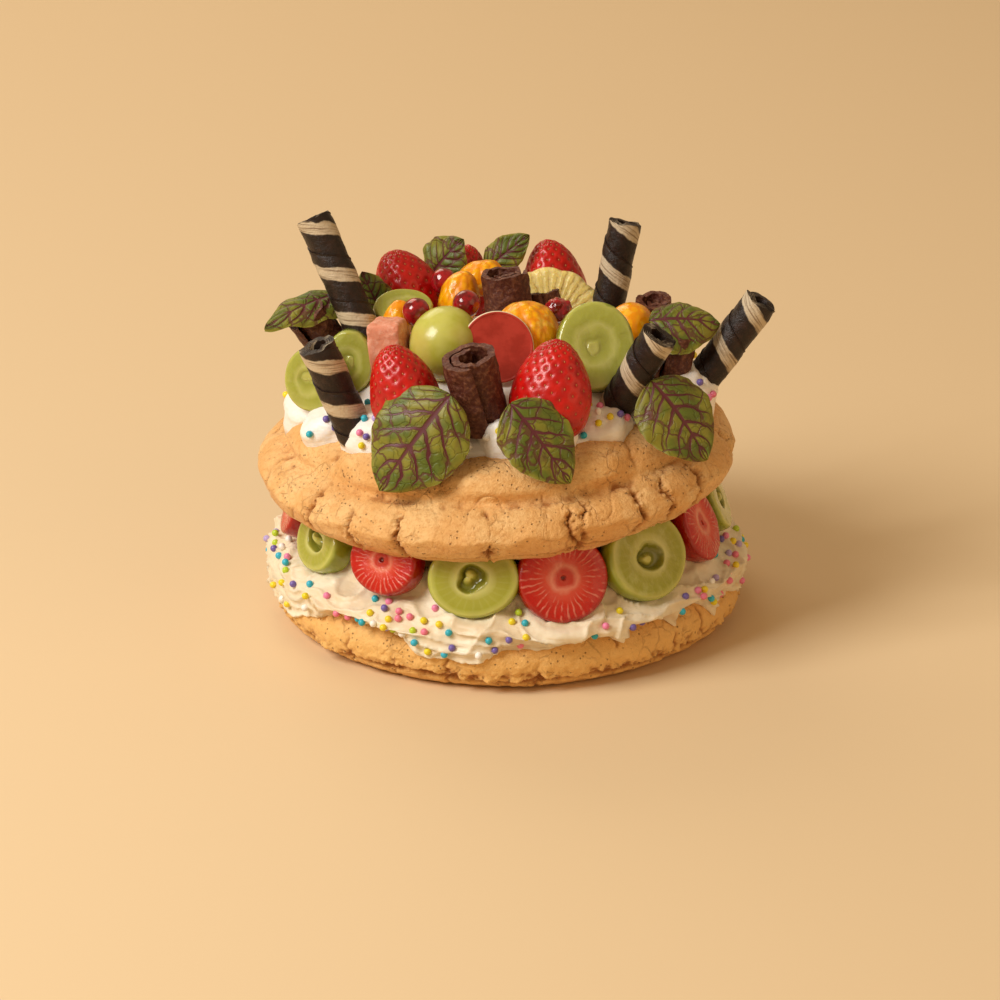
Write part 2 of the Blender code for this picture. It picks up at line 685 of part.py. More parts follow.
# Each entry is a name and what its shape needs. A later piece gives way to an earlier one
ROLLS = (
    ("wafer_roll_1", (-46.0, -8.0, 93.0), (-73.3, 10.0, 153.0), 7.2),
    ("wafer_roll_2", (-55.8, -44.0, 85.0), (-70.3, -45.0, 121.9), 7.4),
    ("wafer_roll_3", (37.0, 30.0, 99.0), (45.2, 35.0, 142.4), 6.8),
    ("wafer_roll_4", (38.0, -38.0, 90.0), (56.0, -45.0, 126.0), 7.2),
    ("wafer_roll_5", (70.5, -5.0, 88.0), (95.6, -5.0, 124.8), 7.2),
)
CURLS = (
    ("chocolate_curl_1", (-8.0, -53.5, 94.4), (-13.4, -57.5, 122.4), 11.0, 3.2, 1.45, 20),
    ("chocolate_curl_2", (-62.5, 6.0, 97.0), (-75.7, 0.0, 118.0), 8.8, 2.4, 1.3, 60),
    ("chocolate_curl_3", (1.5, 10.0, 104.0), (-1.6, 10.0, 131.0), 9.8, 2.6, 1.4, 200),
    ("chocolate_curl_4", (17.0, 14.0, 102.0), (13.5, 20.0, 119.0), 8.8, 2.4, 1.3, 100),
    ("chocolate_curl_5", (56.0, 20.0, 96.0), (56.6, 18.0, 117.0), 8.9, 2.4, 1.3, 150),
    ("chocolate_curl_6", (62.5, -9.0, 92.0), (65.8, -12.0, 114.5), 7.6, 2.2, 1.3, 20),
)
PLAQUE = ("red_disc", (-3.6, -35.0, 117.3), (0.05, -1.0, 0.35), 13.6, 2.2)
BLOCK = ("pink_block", (-43.8, -26.0, 113.6), (-0.12, 0.05, 1.0), (-0.35, -1.0, 0.0), (13.5, 12.0, 22.0))
STRAWBERRIES = (
    ("strawberry_1", (16.8, -55.0, 106.5), (0.08, 0.10, 1.0), 15.2, 38.0),
    ("strawberry_2", (-38.0, -54.0, 106.0), (-0.30, 0.05, 1.0), 13.2, 36.0),
    ("strawberry_3", (-37.5, 32.0, 114.5), (-0.45, 0.0, 1.0), 13.0, 34.0),
    ("strawberry_4", (18.0, 52.0, 111.0), (-0.15, 0.1, 1.0), 12.5, 33.0),
    ("strawberry_5", (-16.5, 52.0, 108.0), (0.10, 0.1, 1.0), 10.5, 34.0),
)
GRAPE = ("grape_whole", (-23.3, -27.0, 115.9), (0.3, 0.1, 1.0), 13.3, 14.2)
FRUIT_SIDES = 12
HALF_BACK = 0.55
SLICE_BACK = 0.93
CUT_FRUITS = (
    ("grape_half_1", "grape", (-74.3, -25.0, 100.4), (-0.55, -1.0, 0.25), 11.0, 12.6, 10.0, HALF_BACK),
    ("grape_half_2", "grape", (-59.9, -15.0, 103.8), (-0.15, -1.0, 0.30), 9.5, 12.4, 9.5, HALF_BACK),
    ("grape_half_3", "grape", (33.1, -32.0, 117.2), (0.10, -1.0, 0.55), 14.6, 17.0, 11.0, HALF_BACK),
    ("grape_half_4", "grape", (-39.2, 6.0, 119.0), (0.10, -0.6, 1.0), 11.5, 9.0, 9.0, HALF_BACK),
)
CITRUS = (
    ("mandarin_1", (-18.3, 16.0, 117.5), (0.2, 0.1, 1.0), 7.8, 11.5),
    ("mandarin_2", (-10.0, 34.0, 120.0), (1.0, 0.1, 0.25), 6.8, 9.5),
    ("mandarin_3", (7.4, -19.0, 117.5), (0.35, 0.1, 1.0), 12.2, 11.8),
    ("mandarin_4", (-42.4, -8.0, 114.0), (0.25, 0.1, 1.0), 6.0, 12.0),
    ("apricot_ball", (46.8, 4.0, 110.0), (0.1, 0.1, 1.0), 9.8, 10.5),
)
PINEAPPLE = ("pineapple_slice", (16.5, 29.0, 102.5), (0.10, -1.0, 0.35), 22.0, 8.0, 9.0, 7)
BERRIES = (
    ("berry_1", (-34.1, -16.0, 124.4), 5.3),
    ("berry_2", (-24.2, 22.0, 123.0), 5.0),
    ("berry_3", (-15.3, -15.8, 127.6), 5.2),
    ("berry_4", (19.1, -8.0, 122.2), 5.0),
)
LEAVES = (
    ("leaf_1", (-20.6, -71.0, 112.4), (-47.0, -76.0, 76.6), (-0.25, -1.0, 0.45), 37.0, 3.0, 3.5),
    ("leaf_2", (1.0, -73.0, 110.0), (23.0, -80.0, 81.0), (0.25, -1.0, 0.40), 27.0, 2.5, 2.5),
    ("leaf_3", (53.1, -46.5, 108.6), (74.0, -56.0, 80.5), (0.55, -1.0, 0.45), 31.0, 3.0, 3.0),
    ("leaf_4", (53.3, -11.0, 119.1), (80.3, -9.0, 116.8), (0.1, -0.7, 1.0), 24.0, 2.5, 6.5),
    ("leaf_5", (-61.0, 12.0, 122.0), (-91.5, -10.0, 115.5), (-0.1, -0.5, 1.0), 18.0, 3.0, 3.0),
    ("leaf_6", (-47.5, 18.0, 111.0), (-55.5, 22.0, 127.0), (-0.2, -1.0, 0.5), 14.0, 1.5, 1.5),
    ("leaf_7", (-30.0, 46.0, 116.0), (-17.0, 44.0, 132.5), (-0.2, -1.0, 0.6), 20.0, 2.0, 2.0),
    ("leaf_8", (-8.5, 47.0, 118.5), (8.6, 49.0, 132.5), (0.1, -1.0, 0.6), 14.0, 1.5, 1.5),
)

# Fruit between the tiers: kind, bearing, radius, height, half width, half height and depth
RING_FRUITS = (
    ("strawberry", -82, 84.0, 43.0, 10.0, 10.0, 9.0),
    ("grape", -62, 82.0, 41.5, 15.0, 12.0, 9.0),
    ("strawberry", -35, 81.5, 45.0, 15.0, 13.0, 9.0),
    ("grape", -9, 81.5, 43.0, 17.6, 14.5, 9.0),
    ("strawberry", 14.8, 81.5, 43.0, 17.4, 17.0, 9.0),
    ("grape", 40.5, 81.5, 45.0, 18.6, 17.2, 9.0),
    ("strawberry", 63.5, 82.5, 47.5, 12.0, 15.0, 9.0),
    ("grape", 81, 82.5, 48.5, 11.0, 13.0, 9.0),
    ("strawberry", 105, 81.5, 45.0, 15.0, 15.0, 9.0),
    ("grape", 131, 81.5, 43.5, 16.5, 14.5, 9.0),
    ("strawberry", 157, 81.5, 42.0, 16.0, 15.0, 9.0),
    ("grape", 183, 81.5, 41.0, 17.0, 14.0, 9.0),
    ("strawberry", 209, 81.5, 40.0, 15.0, 14.0, 9.0),
    ("grape", 234, 81.5, 39.5, 15.5, 13.0, 9.0),
    ("strawberry", 259, 82.0, 40.0, 13.0, 12.5, 9.0),
)
RING_FACE_RISE = 0.42


def topping_makers():
    """For each topping, its name and a function that builds it, grown by a given amount."""
    makers = []
    for name, bottom, top, radius in ROLLS:
        makers.append((name, lambda label, grow, a=(bottom, top, radius): wafer_roll(label, *a, grow)))
    for name, *shape in CURLS:
        makers.append((name, lambda label, grow, a=shape: chocolate_curl(label, *a, grow)))
    name, *shape = PLAQUE
    makers.append((name, lambda label, grow, a=shape: plaque(label, *a, grow)))
    for name, *shape in STRAWBERRIES:
        makers.append((name, lambda label, grow, a=shape: strawberry(label, *a, grow)))
    name, *shape = GRAPE
    makers.append((name, lambda label, grow, a=shape: ellipsoid(label, "grape", *a, 12, 6, grow)))
    for name, *shape in CUT_FRUITS:
        makers.append((name, lambda label, grow, a=shape: cut_fruit(label, *a, grow)))
    name, *shape = BLOCK
    makers.append((name, lambda label, grow, a=shape: block(label, *a, grow)))
    for name, *shape in CITRUS:
        makers.append((name, lambda label, grow, a=shape: ellipsoid(label, "citrus", *a, 10, 5, grow)))
    for name, centre, radius in BERRIES:
        shape = (centre, (0.2, 0.1, 1), radius, radius, 8, 5)
        makers.append((name, lambda label, grow, a=shape: ellipsoid(label, "berry", *a, grow)))
    name, *shape = PINEAPPLE
    makers.append((name, lambda label, grow, a=shape: pineapple_slice(label, *a, grow)))
    for name, *shape in LEAVES:
        makers.append((name, lambda label, grow, a=shape: leaf(label, *a)))
    return makers


def box_of(obj):
    """Lowest and highest corner of an object's mesh."""
    points = np.array([vertex.co[:] for vertex in obj.data.vertices])
    return points.min(axis=0), points.max(axis=0)


def boxes_meet(one, other):
    """Whether two boxes overlap."""
    return bool(np.all(one[0] < other[1]) and np.all(other[0] < one[1]))


def trim(obj, guards, level_angle=0.0):
    """Cuts the object back where it would reach into any of the guards, which are builders of solids."""
    mine = box_of(obj)
    cutters = []
    for index, guard in enumerate(guards):
        cutter = guard(f"guard_{index}")
        if boxes_meet(mine, box_of(cutter)):
            cutters.append(cutter)
        else:
            remove_object(cutter)
    if cutters:
        boolean(obj, cutters, "DIFFERENCE")
    keep_largest_body(obj, level_angle)


def lay_cream(upper):
    """The top cream, cut free of the crust that it lies on."""
    cream = make_top_cream(upper)
    trim(cream, [lambda label: upper.build(label, TOUCH_GAP)])
    return cream


def make_toppings(upper):
    """All that lies on the upper tier, each trimmed where it would reach into an earlier piece."""
    made = []
    guards = [
        lambda label: make_top_cream(upper, label, TOUCH_GAP),
        lambda label: upper.build(label, TOUCH_GAP),
    ]
    for name, maker in topping_makers():
        topping = maker(name, 0.0)
        trim(topping, guards, LEVEL_ANGLE)
        made.append(topping)
        guards.append(lambda label, build=maker: build(label, TOUCH_GAP))
    return made


def make_ring_fruits(base, upper):
    """The fruit slices that stand between the tiers, tucked under the upper crust."""
    made = []
    guards = [
        lambda label: make_filling(base, label, TOUCH_GAP),
        lambda label: upper.build(label, TOUCH_GAP),
    ]
    counts = {"strawberry": 0, "grape": 0}
    for kind, bearing, distance, height, *size in RING_FRUITS:
        counts[kind] += 1
        centre = bearing_point(bearing, distance, height)
        facing = bearing_point(bearing, 1.0, RING_FACE_RISE)
        shape = (kind, centre, facing, *size, SLICE_BACK)
        fruit = cut_fruit(f"ring_{kind}_{counts[kind]}", *shape)
        trim(fruit, guards, LEVEL_ANGLE)
        made.append(fruit)
        guards.append(lambda label, a=shape: cut_fruit(label, *a, TOUCH_GAP))
    return made


def sprinkle(centre):
    """One sugar pearl."""
    mesh = bpy.data.meshes.new("sprinkle")
    work = bmesh.new()
    bmesh.ops.create_icosphere(work, subdivisions=1, radius=SPRINKLE_RADIUS * METRES)
    bmesh.ops.translate(work, verts=work.verts, vec=centre)
    work.to_mesh(mesh)
    work.free()
    made = bpy.data.objects.new("sprinkle", mesh)
    bpy.context.scene.collection.objects.link(made)
    return made


def sprinkle_spots(cream, others, count, low, inner, side_share, seed):
    """Spots on the open face of the cream, by seeded draws that keep clear of one another."""
    rng = random.Random(seed)
    surface = BVHTree.FromObject(cream, bpy.context.evaluated_depsgraph_get())
    trees = [BVHTree.FromObject(other, bpy.context.evaluated_depsgraph_get()) for other in others]
    spots = []
    for _ in range(count * SPRINKLE_DRAWS):
        if len(spots) == count:
            break
        bearing = rng.uniform(0, 360)
        away = rng.uniform(inner, TIER_RADIUS + EDGE_REACH)
        if rng.random() < side_share:
            start = bearing_point(bearing, SIDE_START_RADIUS, rng.uniform(low, SIDE_TOP_HEIGHT))
            direction = Vector(bearing_point(bearing, -1.0, 0.0))
        else:
            start = bearing_point(bearing, away, ABOVE_HEIGHT)
            direction = Vector((0.0, 0.0, -1.0))
        start = Vector(start * METRES)
        hit, normal, _, distance = surface.ray_cast(start, direction)
        if hit is None or hit.z < low * METRES:
            continue
        if any(tree.ray_cast(start, direction, distance)[0] is not None for tree in trees):
            continue
        centre = hit + normal * SPRINKLE_STAND * SPRINKLE_RADIUS * METRES
        reach = (SPRINKLE_RADIUS + SPRINKLE_CLEAR) * METRES
        if any(tree.find_nearest(centre, reach)[0] is not None for tree in trees):
            continue
        if all((centre - spot).length > SPRINKLE_SPACING * METRES for spot in spots):
            spots.append(centre)
    return spots


def fuse_sprinkles(cream, others, spread):
    """Joins the sprinkles to the cream that they lie on."""
    spots = sprinkle_spots(cream, others, *spread)
    boolean(cream, [sprinkle(spot) for spot in spots], "UNION", "MANIFOLD")
    keep_largest_body(cream)


def main():
    """Builds the whole cake."""
    for obj in list(bpy.data.objects):
        bpy.data.objects.remove(obj)
    base_crust = make_base_crust()
    upper_crust = make_upper_crust()
    base = base_crust.build("base_tier")
    upper = upper_crust.build("upper_tier")
    filling = make_filling(base_crust)
    cream = lay_cream(upper_crust)
    ring = make_ring_fruits(base_crust, upper_crust)
    toppings = make_toppings(upper_crust)
    fuse_sprinkles(filling, ring + [base, upper], FILLING_SPRINKLES)
    fuse_sprinkles(cream, toppings + [upper], TOP_SPRINKLES)
    for obj in [base, upper, filling, cream, *ring, *toppings]:
        smooth(obj)


if __name__ == "__main__":
    main()
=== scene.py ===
"""Looks of a two-tier choux cake with cream, fruit, wafer rolls, chocolate curls and leaves.

Every shape is worked out in millimetres on a grid of two parameters and turned into metres where its
mesh is made. The origin is on the table under the base tier, +Z is up and the front looks along -Y.
A bearing is an angle seen from above, 0 at the front and growing towards +X.
"""

from __future__ import annotations

import logging
import math
from dataclasses import dataclass
from enum import Enum

import bpy
import numpy as np
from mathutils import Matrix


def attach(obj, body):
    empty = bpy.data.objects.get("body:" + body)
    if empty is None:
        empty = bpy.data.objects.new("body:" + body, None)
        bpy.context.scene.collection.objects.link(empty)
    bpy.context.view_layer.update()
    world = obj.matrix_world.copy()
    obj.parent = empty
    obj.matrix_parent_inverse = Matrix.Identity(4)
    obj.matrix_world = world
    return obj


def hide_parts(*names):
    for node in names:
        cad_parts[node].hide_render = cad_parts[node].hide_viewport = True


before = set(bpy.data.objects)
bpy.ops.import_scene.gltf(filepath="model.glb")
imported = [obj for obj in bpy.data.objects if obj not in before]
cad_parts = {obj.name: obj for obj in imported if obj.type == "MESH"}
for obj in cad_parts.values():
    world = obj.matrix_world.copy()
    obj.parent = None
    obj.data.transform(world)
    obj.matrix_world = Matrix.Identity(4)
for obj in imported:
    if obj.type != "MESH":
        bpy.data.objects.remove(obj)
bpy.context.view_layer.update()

Array = np.ndarray
Point = tuple[float, float, float]
Piece = bpy.types.Object
LOG = logging.getLogger("cake")
METRES = 0.001
TURN = 2 * np.pi
ROOT = "root"
UP = (0.0, 0.0, 1.0)

# The tiers, as the frame has them
UPPER_BOTTOM = 46.0
UPPER_SHIFT_X = -3.8
UPPER_LEAN = 0.05


class Slot(Enum):
    """Material slots."""

    CRUST = "crust"
    FILLING = "filling"
    CREAM = "cream"
    WAFER = "wafer"
    CHOCOLATE = "chocolate"
    STRAWBERRY = "strawberry"
    LEAF = "leaf"
    GRAPE = "grape"
    CITRUS = "citrus"
    BERRY = "berry"
    PINK = "pink"
    PLAQUE = "plaque"
    PINEAPPLE = "pineapple"


class Cut(Enum):
    """The kinds of cut fruit."""

    STRAWBERRY = "strawberry"
    HOLLOW_GRAPE = "grape"
    SOLID_GRAPE = "grape half"


# Geometry


def bearing_point(bearing: Array, radius: Array, height: Array, centre_x: float = 0.0) -> Array:
    """Points round a vertical axis: x = centre_x + r sin(bearing), y = -r cos(bearing).

    Args:
        bearing: Bearings in degrees.
        radius: Distances from the axis.
        height: Heights.
        centre_x: Where the axis stands.

    Returns:
        The points, with x, y and z last.
    """
    angle = np.radians(bearing)
    x = centre_x + radius * np.sin(angle)
    y = -radius * np.cos(angle)
    return np.stack(np.broadcast_arrays(x, y, height), axis=-1)


def off_bearing(bearings: Array, bearing: Array | float) -> Array:
    """How far bearings lie from another one, from -180 to 180 degrees."""
    return (bearings - bearing + 180) % 360 - 180


def lean(points: Array) -> Array:
    """Lifts points towards +X by UPPER_LEAN of their distance, as the upper tier sits askew.

    Args:
        points: Points of the upper tier.

    Returns:
        The leaning points.
    """
    leant = np.array(points, dtype=float)
    leant[..., 2] += UPPER_LEAN * (leant[..., 0] - UPPER_SHIFT_X)
    return leant


def unit(vector: Array) -> Array:
    """Vectors at length 1, along the last axis.

    Args:
        vector: One vector or an array of them.

    Returns:
        The same directions at length 1.
    """
    vector = np.asarray(vector, dtype=float)
    return vector / np.linalg.norm(vector, axis=-1, keepdims=True)


def axes_from(along: Point, towards: Point) -> tuple[Array, Array, Array]:
    """Three unit axes: the third is along, and the second lies as near to towards as it can.

    Args:
        along: Direction of the third axis.
        towards: Direction that the second axis turns to.

    Returns:
        The first, second and third axis.
    """
    third = unit(along)
    second = np.asarray(towards, dtype=float)
    second = unit(second - third * np.dot(second, third))
    return np.cross(second, third), second, third


def turned_way(first: Array, second: Array, angle: Array) -> Array:
    """Directions at angles in the plane of two axes, counted from the first to the second."""
    return first * np.cos(angle)[..., None] + second * np.sin(angle)[..., None]


def smooth_curve(control: Array, count: int) -> tuple[Array, Array]:
    """A rounded curve through control points: each span is the cubic that meets its neighbours' slopes.

    Args:
        control: Control points along the first axis. Further axes are carried along.
        count: How many points the curve gets, evenly spread over the spans.

    Returns:
        The points, and for each the span number it lies in as a real number.
    """
    control = np.asarray(control, dtype=float)
    place = np.linspace(0, len(control) - 1, count)
    span = np.minimum(place.astype(int), len(control) - 2)
    part = (place - span).reshape((-1,) + (1,) * (control.ndim - 1))
    slope = np.gradient(control, axis=0)
    start, end = control[span], control[span + 1]
    leave, arrive = slope[span], slope[span + 1]
    square, cube = part * part, part ** 3
    points = (2 * cube - 3 * square + 1) * start + (cube - 2 * square + part) * leave
    points += (3 * square - 2 * cube) * end + (cube - square) * arrive
    return points, place


def ease(low: float, high: float, value: Array) -> Array:
    """A soft step from 0 at low to 1 at high: 3t squared less 2t cubed.

    Args:
        low: Where the step starts.
        high: Where it ends.
        value: What is stepped.

    Returns:
        Shares from 0 to 1.
    """
    part = np.clip((value - low) / (high - low), 0, 1)
    return part * part * (3 - 2 * part)


def boxed(values: Array, power: float) -> Array:
    """Sines or cosines raised to a small power, sign kept, so that a circle fills out towards a box."""
    return np.sign(values) * np.abs(values) ** power


class Noise:
    """Smooth random relief: seeded numbers on a lattice, blended softly between the lattice's corners."""

    SIDE = 48
    INSIDE = 500.0
    LAYER_STEP = 17.3

    def __init__(self, seed: int) -> None:
        """Draws the lattice.

        Args:
            seed: Seed of the draw.
        """
        self.table = np.random.default_rng(seed).uniform(-1, 1, (self.SIDE,) * 3)

    def at(self, points: Array, size: float) -> Array:
        """The blended value at points.

        Args:
            points: Points in millimetres.
            size: Lattice spacing in millimetres.

        Returns:
            Values from -1 to 1.
        """
        scaled = np.asarray(points) / size + self.INSIDE
        cell = np.floor(scaled).astype(int)
        part = scaled - cell
        part = part * part * (3 - 2 * part)
        total = np.zeros(scaled.shape[:-1])
        for corner in range(8):
            offset = np.array([corner & 1, corner >> 1 & 1, corner >> 2])
            weight = np.prod(np.where(offset == 1, part, 1 - part), axis=-1)
            index = (cell + offset) % self.SIDE
            total += weight * self.table[index[..., 0], index[..., 1], index[..., 2]]
        return total

    def layered(self, points: Array, size: float, layers: int = 3, fade: float = 0.5) -> Array:
        """A sum of ever finer relief: each layer is half as wide and fade times as strong.

        Args:
            points: Points in millimetres.
            size: Spacing of the broadest layer.
            layers: Number of layers.
            fade: Strength of each layer against the one before.

        Returns:
            The summed values.
        """
        total = np.zeros(np.shape(points)[:-1])
        for layer in range(layers):
            total += fade ** layer * self.at(points + self.LAYER_STEP * layer, size / 2 ** layer)
        return total


RELIEF = Noise(7)


class Skin:
    """Collects grids of points into one mesh, with a pattern UV for each corner and a tint for each point."""

    def __init__(self) -> None:
        """Starts with nothing."""
        self.points: list[Array] = []
        self.tints: list[Array] = []
        self.corners: list[Array] = []
        self.sizes: list[Array] = []
        self.uvs: list[Array] = []
        self.count = 0

    def add_points(self, points: Array, tint: Array | float) -> int:
        """Takes in points.

        Args:
            points: Points in millimetres.
            tint: A tint for each point, or one for all.

        Returns:
            The number of the first of them.
        """
        first = self.count
        flat = np.asarray(points, dtype=float).reshape(-1, 3)
        self.points.append(flat)
        self.tints.append(np.broadcast_to(np.asarray(tint, dtype=float).reshape(-1), (len(flat),)).copy())
        self.count += len(flat)
        return first

    def add_faces(self, corners: Array, uvs: Array) -> None:
        """Takes in faces that all have the same number of corners.

        Args:
            corners: Point numbers, one row for each face.
            uvs: A pair for each corner.
        """
        self.corners.append(corners.reshape(-1))
        self.sizes.append(np.full(len(corners), corners.shape[1]))
        self.uvs.append(uvs.reshape(-1, 2))

    def add_grid(
        self,
        points: Array,
        poles: tuple[Array | None, Array | None] = (None, None),
        u: Array | None = None,
        v: Array | None = None,
        tint: Array | float = 0.0,
        flip: bool = False,
    ) -> None:
        """Takes in a grid: rings of points, joined by quads and ended by poles.

        Args:
            points: Rows, columns and x, y, z. The last column joins the first.
            poles: The point that closes the first row and the one that closes the last.
            u: Pattern value of each column, with one more for the seam. Even steps to 1 if left out.
            v: Pattern value of each row. Even steps to 1 if left out.
            tint: A tint for each point of the grid, or one for all.
            flip: Whether the faces look the other way.
        """
        rows, columns = points.shape[:2]
        first = self.add_points(points, tint)
        u = np.linspace(0, 1, columns + 1) if u is None else np.asarray(u, dtype=float)
        v = np.linspace(0, 1, rows) if v is None else np.asarray(v, dtype=float)
        step = np.arange(columns)
        after = (step + 1) % columns
        row = np.arange(rows - 1)[:, None] * columns + first
        quads = np.stack([row + step, row + after, row + columns + after, row + columns + step], axis=-1)
        low, high, left, right = np.broadcast_arrays(v[:-1, None], v[1:, None], u[None, :-1], u[None, 1:])
        pairs = np.stack([left, low, right, low, right, high, left, high], axis=-1).reshape(-1, 4, 2)
        quads = quads.reshape(-1, 4)
        if flip:
            quads, pairs = quads[:, ::-1], pairs[:, ::-1]
        self.add_faces(quads, pairs)
        for last, pole in enumerate(poles):
            if pole is None:
                continue
            edge = first + (rows - 1) * columns if last else first
            edge_tint = np.mean(self.tints[-1][-columns:] if last else self.tints[-1][:columns])
            number = self.add_points(pole, edge_tint)
            ends = (edge + step, edge + after) if last else (edge + after, edge + step)
            fan = np.stack([*ends, np.full(columns, number)], axis=-1)
            level = v[-1] if last else v[0]
            sides = (u[:-1], u[1:]) if last else (u[1:], u[:-1])
            middle = (u[:-1] + u[1:]) / 2
            flat = np.full(columns, level)
            pairs = np.stack([sides[0], flat, sides[1], flat, middle, flat], axis=-1).reshape(-1, 3, 2)
            if flip:
                fan, pairs = fan[:, ::-1], pairs[:, ::-1]
            self.add_faces(fan, pairs)

    def add_balls(self, centres: Array, axes: Array, sizes: Point, tints: Array, around: int = 8) -> None:
        """Takes in copies of a small ball, each with its own place and axes.

        Args:
            centres: Centre of each copy.
            axes: Three axes for each copy, one in each row.
            sizes: Half sizes along the axes.
            tints: Tint of each copy.
            around: Columns of a ball.
        """
        levels = around // 2 + 1
        turn = np.arange(around) * TURN / around
        down = np.linspace(0, np.pi, levels + 2)[1:-1]
        ring = np.stack([np.cos(turn), np.sin(turn), np.zeros(around)], axis=-1)
        ball = ring[None] * np.sin(down)[:, None, None]
        ball[..., 2] = np.cos(down)[:, None]
        template = np.concatenate([ball.reshape(-1, 3), [[0, 0, 1], [0, 0, -1]]]) * np.array(sizes)
        placed = np.einsum("ma,nax->nmx", template, axes) + centres[:, None]
        each = len(template)
        first = self.add_points(placed, np.repeat(tints, each))
        step = np.arange(around)
        after = (step + 1) % around
        row = np.arange(levels - 1)[:, None] * around
        quads = np.stack([row + step, row + around + step, row + around + after, row + after], axis=-1)
        quads = quads.reshape(-1, 4)
        last = (levels - 1) * around
        top = np.stack([step, after, np.full(around, each - 2)], axis=-1)
        bottom = np.stack([last + after, last + step, np.full(around, each - 1)], axis=-1)
        starts = first + np.arange(len(centres))[:, None, None] * each
        for faces in (quads, np.concatenate([top, bottom])):
            corners = (faces[None] + starts).reshape(-1, faces.shape[1])
            self.add_faces(corners, np.zeros((len(corners), faces.shape[1], 2)))

    def build(self, name: str, finish: Finish, slot: Slot, node: str, crease: float | None = None) -> Piece:
        """Makes the piece, rides it on the cake's one body and hides the part that it stands for.

        Args:
            name: Name of the piece.
            finish: Its finish.
            slot: Not used.
            node: The node that it replaces.
            crease: Angle in degrees above which an edge stays sharp.

        Returns:
            The piece, at the origin.
        """
        mesh = bpy.data.meshes.new(name)
        points = np.concatenate(self.points) * METRES
        corners = np.concatenate(self.corners)
        sizes = np.concatenate(self.sizes)
        mesh.vertices.add(len(points))
        mesh.vertices.foreach_set("co", points.astype(np.float32).reshape(-1))
        mesh.loops.add(len(corners))
        mesh.loops.foreach_set("vertex_index", corners.astype(np.int32))
        mesh.polygons.add(len(sizes))
        mesh.polygons.foreach_set("loop_start", (np.cumsum(sizes) - sizes).astype(np.int32))
        mesh.update(calc_edges=True)
        layer = mesh.uv_layers.new(name="pattern")
        layer.uv.foreach_set("vector", np.concatenate(self.uvs).astype(np.float32).reshape(-1))
        tint = mesh.attributes.new("tint", "FLOAT", "POINT")
        tint.data.foreach_set("value", np.concatenate(self.tints).astype(np.float32))
        mesh.materials.append(finish.make())
        mesh.shade_smooth()
        if crease is not None:
            mesh.set_sharp_from_angle(angle=math.radians(crease))
        mesh.validate()
        piece = bpy.data.objects.new(name, mesh)
        bpy.context.scene.collection.objects.link(piece)
        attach(piece, ROOT)
        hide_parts(node)
        return piece


def row_means(points: Array) -> tuple[Array, Array]:
    """Middles of the first and the last row of a grid, where its poles lie.

    Args:
        points: A grid of points.

    Returns:
        The two middles.
    """
    return points[0].mean(axis=0), points[-1].mean(axis=0)


def grid_normals(points: Array) -> Array:
    """Outward directions of a grid: the cross product of its slopes along columns and rows.

    Args:
        points: Rows, columns and x, y, z. The last column joins the first.

    Returns:
        A unit normal for each point.
    """
    wide = (np.roll(points, -1, axis=1) - np.roll(points, 1, axis=1)) / 2
    tall = np.gradient(points, axis=0)
    normal = np.cross(wide, tall)
    return normal / np.maximum(np.linalg.norm(normal, axis=-1, keepdims=True), 1e-9)


# Finishes


def linear(code: str) -> tuple[float, float, float, float]:
    """Turns an sRGB hex colour to linear.

    Args:
        code: Six hex digits after a hash.

    Returns:
        Red, green, blue and alpha.
    """
    shares = [int(code[place:place + 2], 16) / 255 for place in (1, 3, 5)]
    red, green, blue = (x / 12.92 if x <= 0.04045 else ((x + 0.055) / 1.055) ** 2.4 for x in shares)
    return red, green, blue, 1.0


def per_metre(size_mm: float) -> float:
    """Texture scale on Object coordinates for a pattern of this real size.

    Args:
        size_mm: Size of the pattern in millimetres.

    Returns:
        Repeats in a metre.
    """
    return 1000.0 / size_mm


Socket = bpy.types.NodeSocket
Value = Socket | float | str | tuple


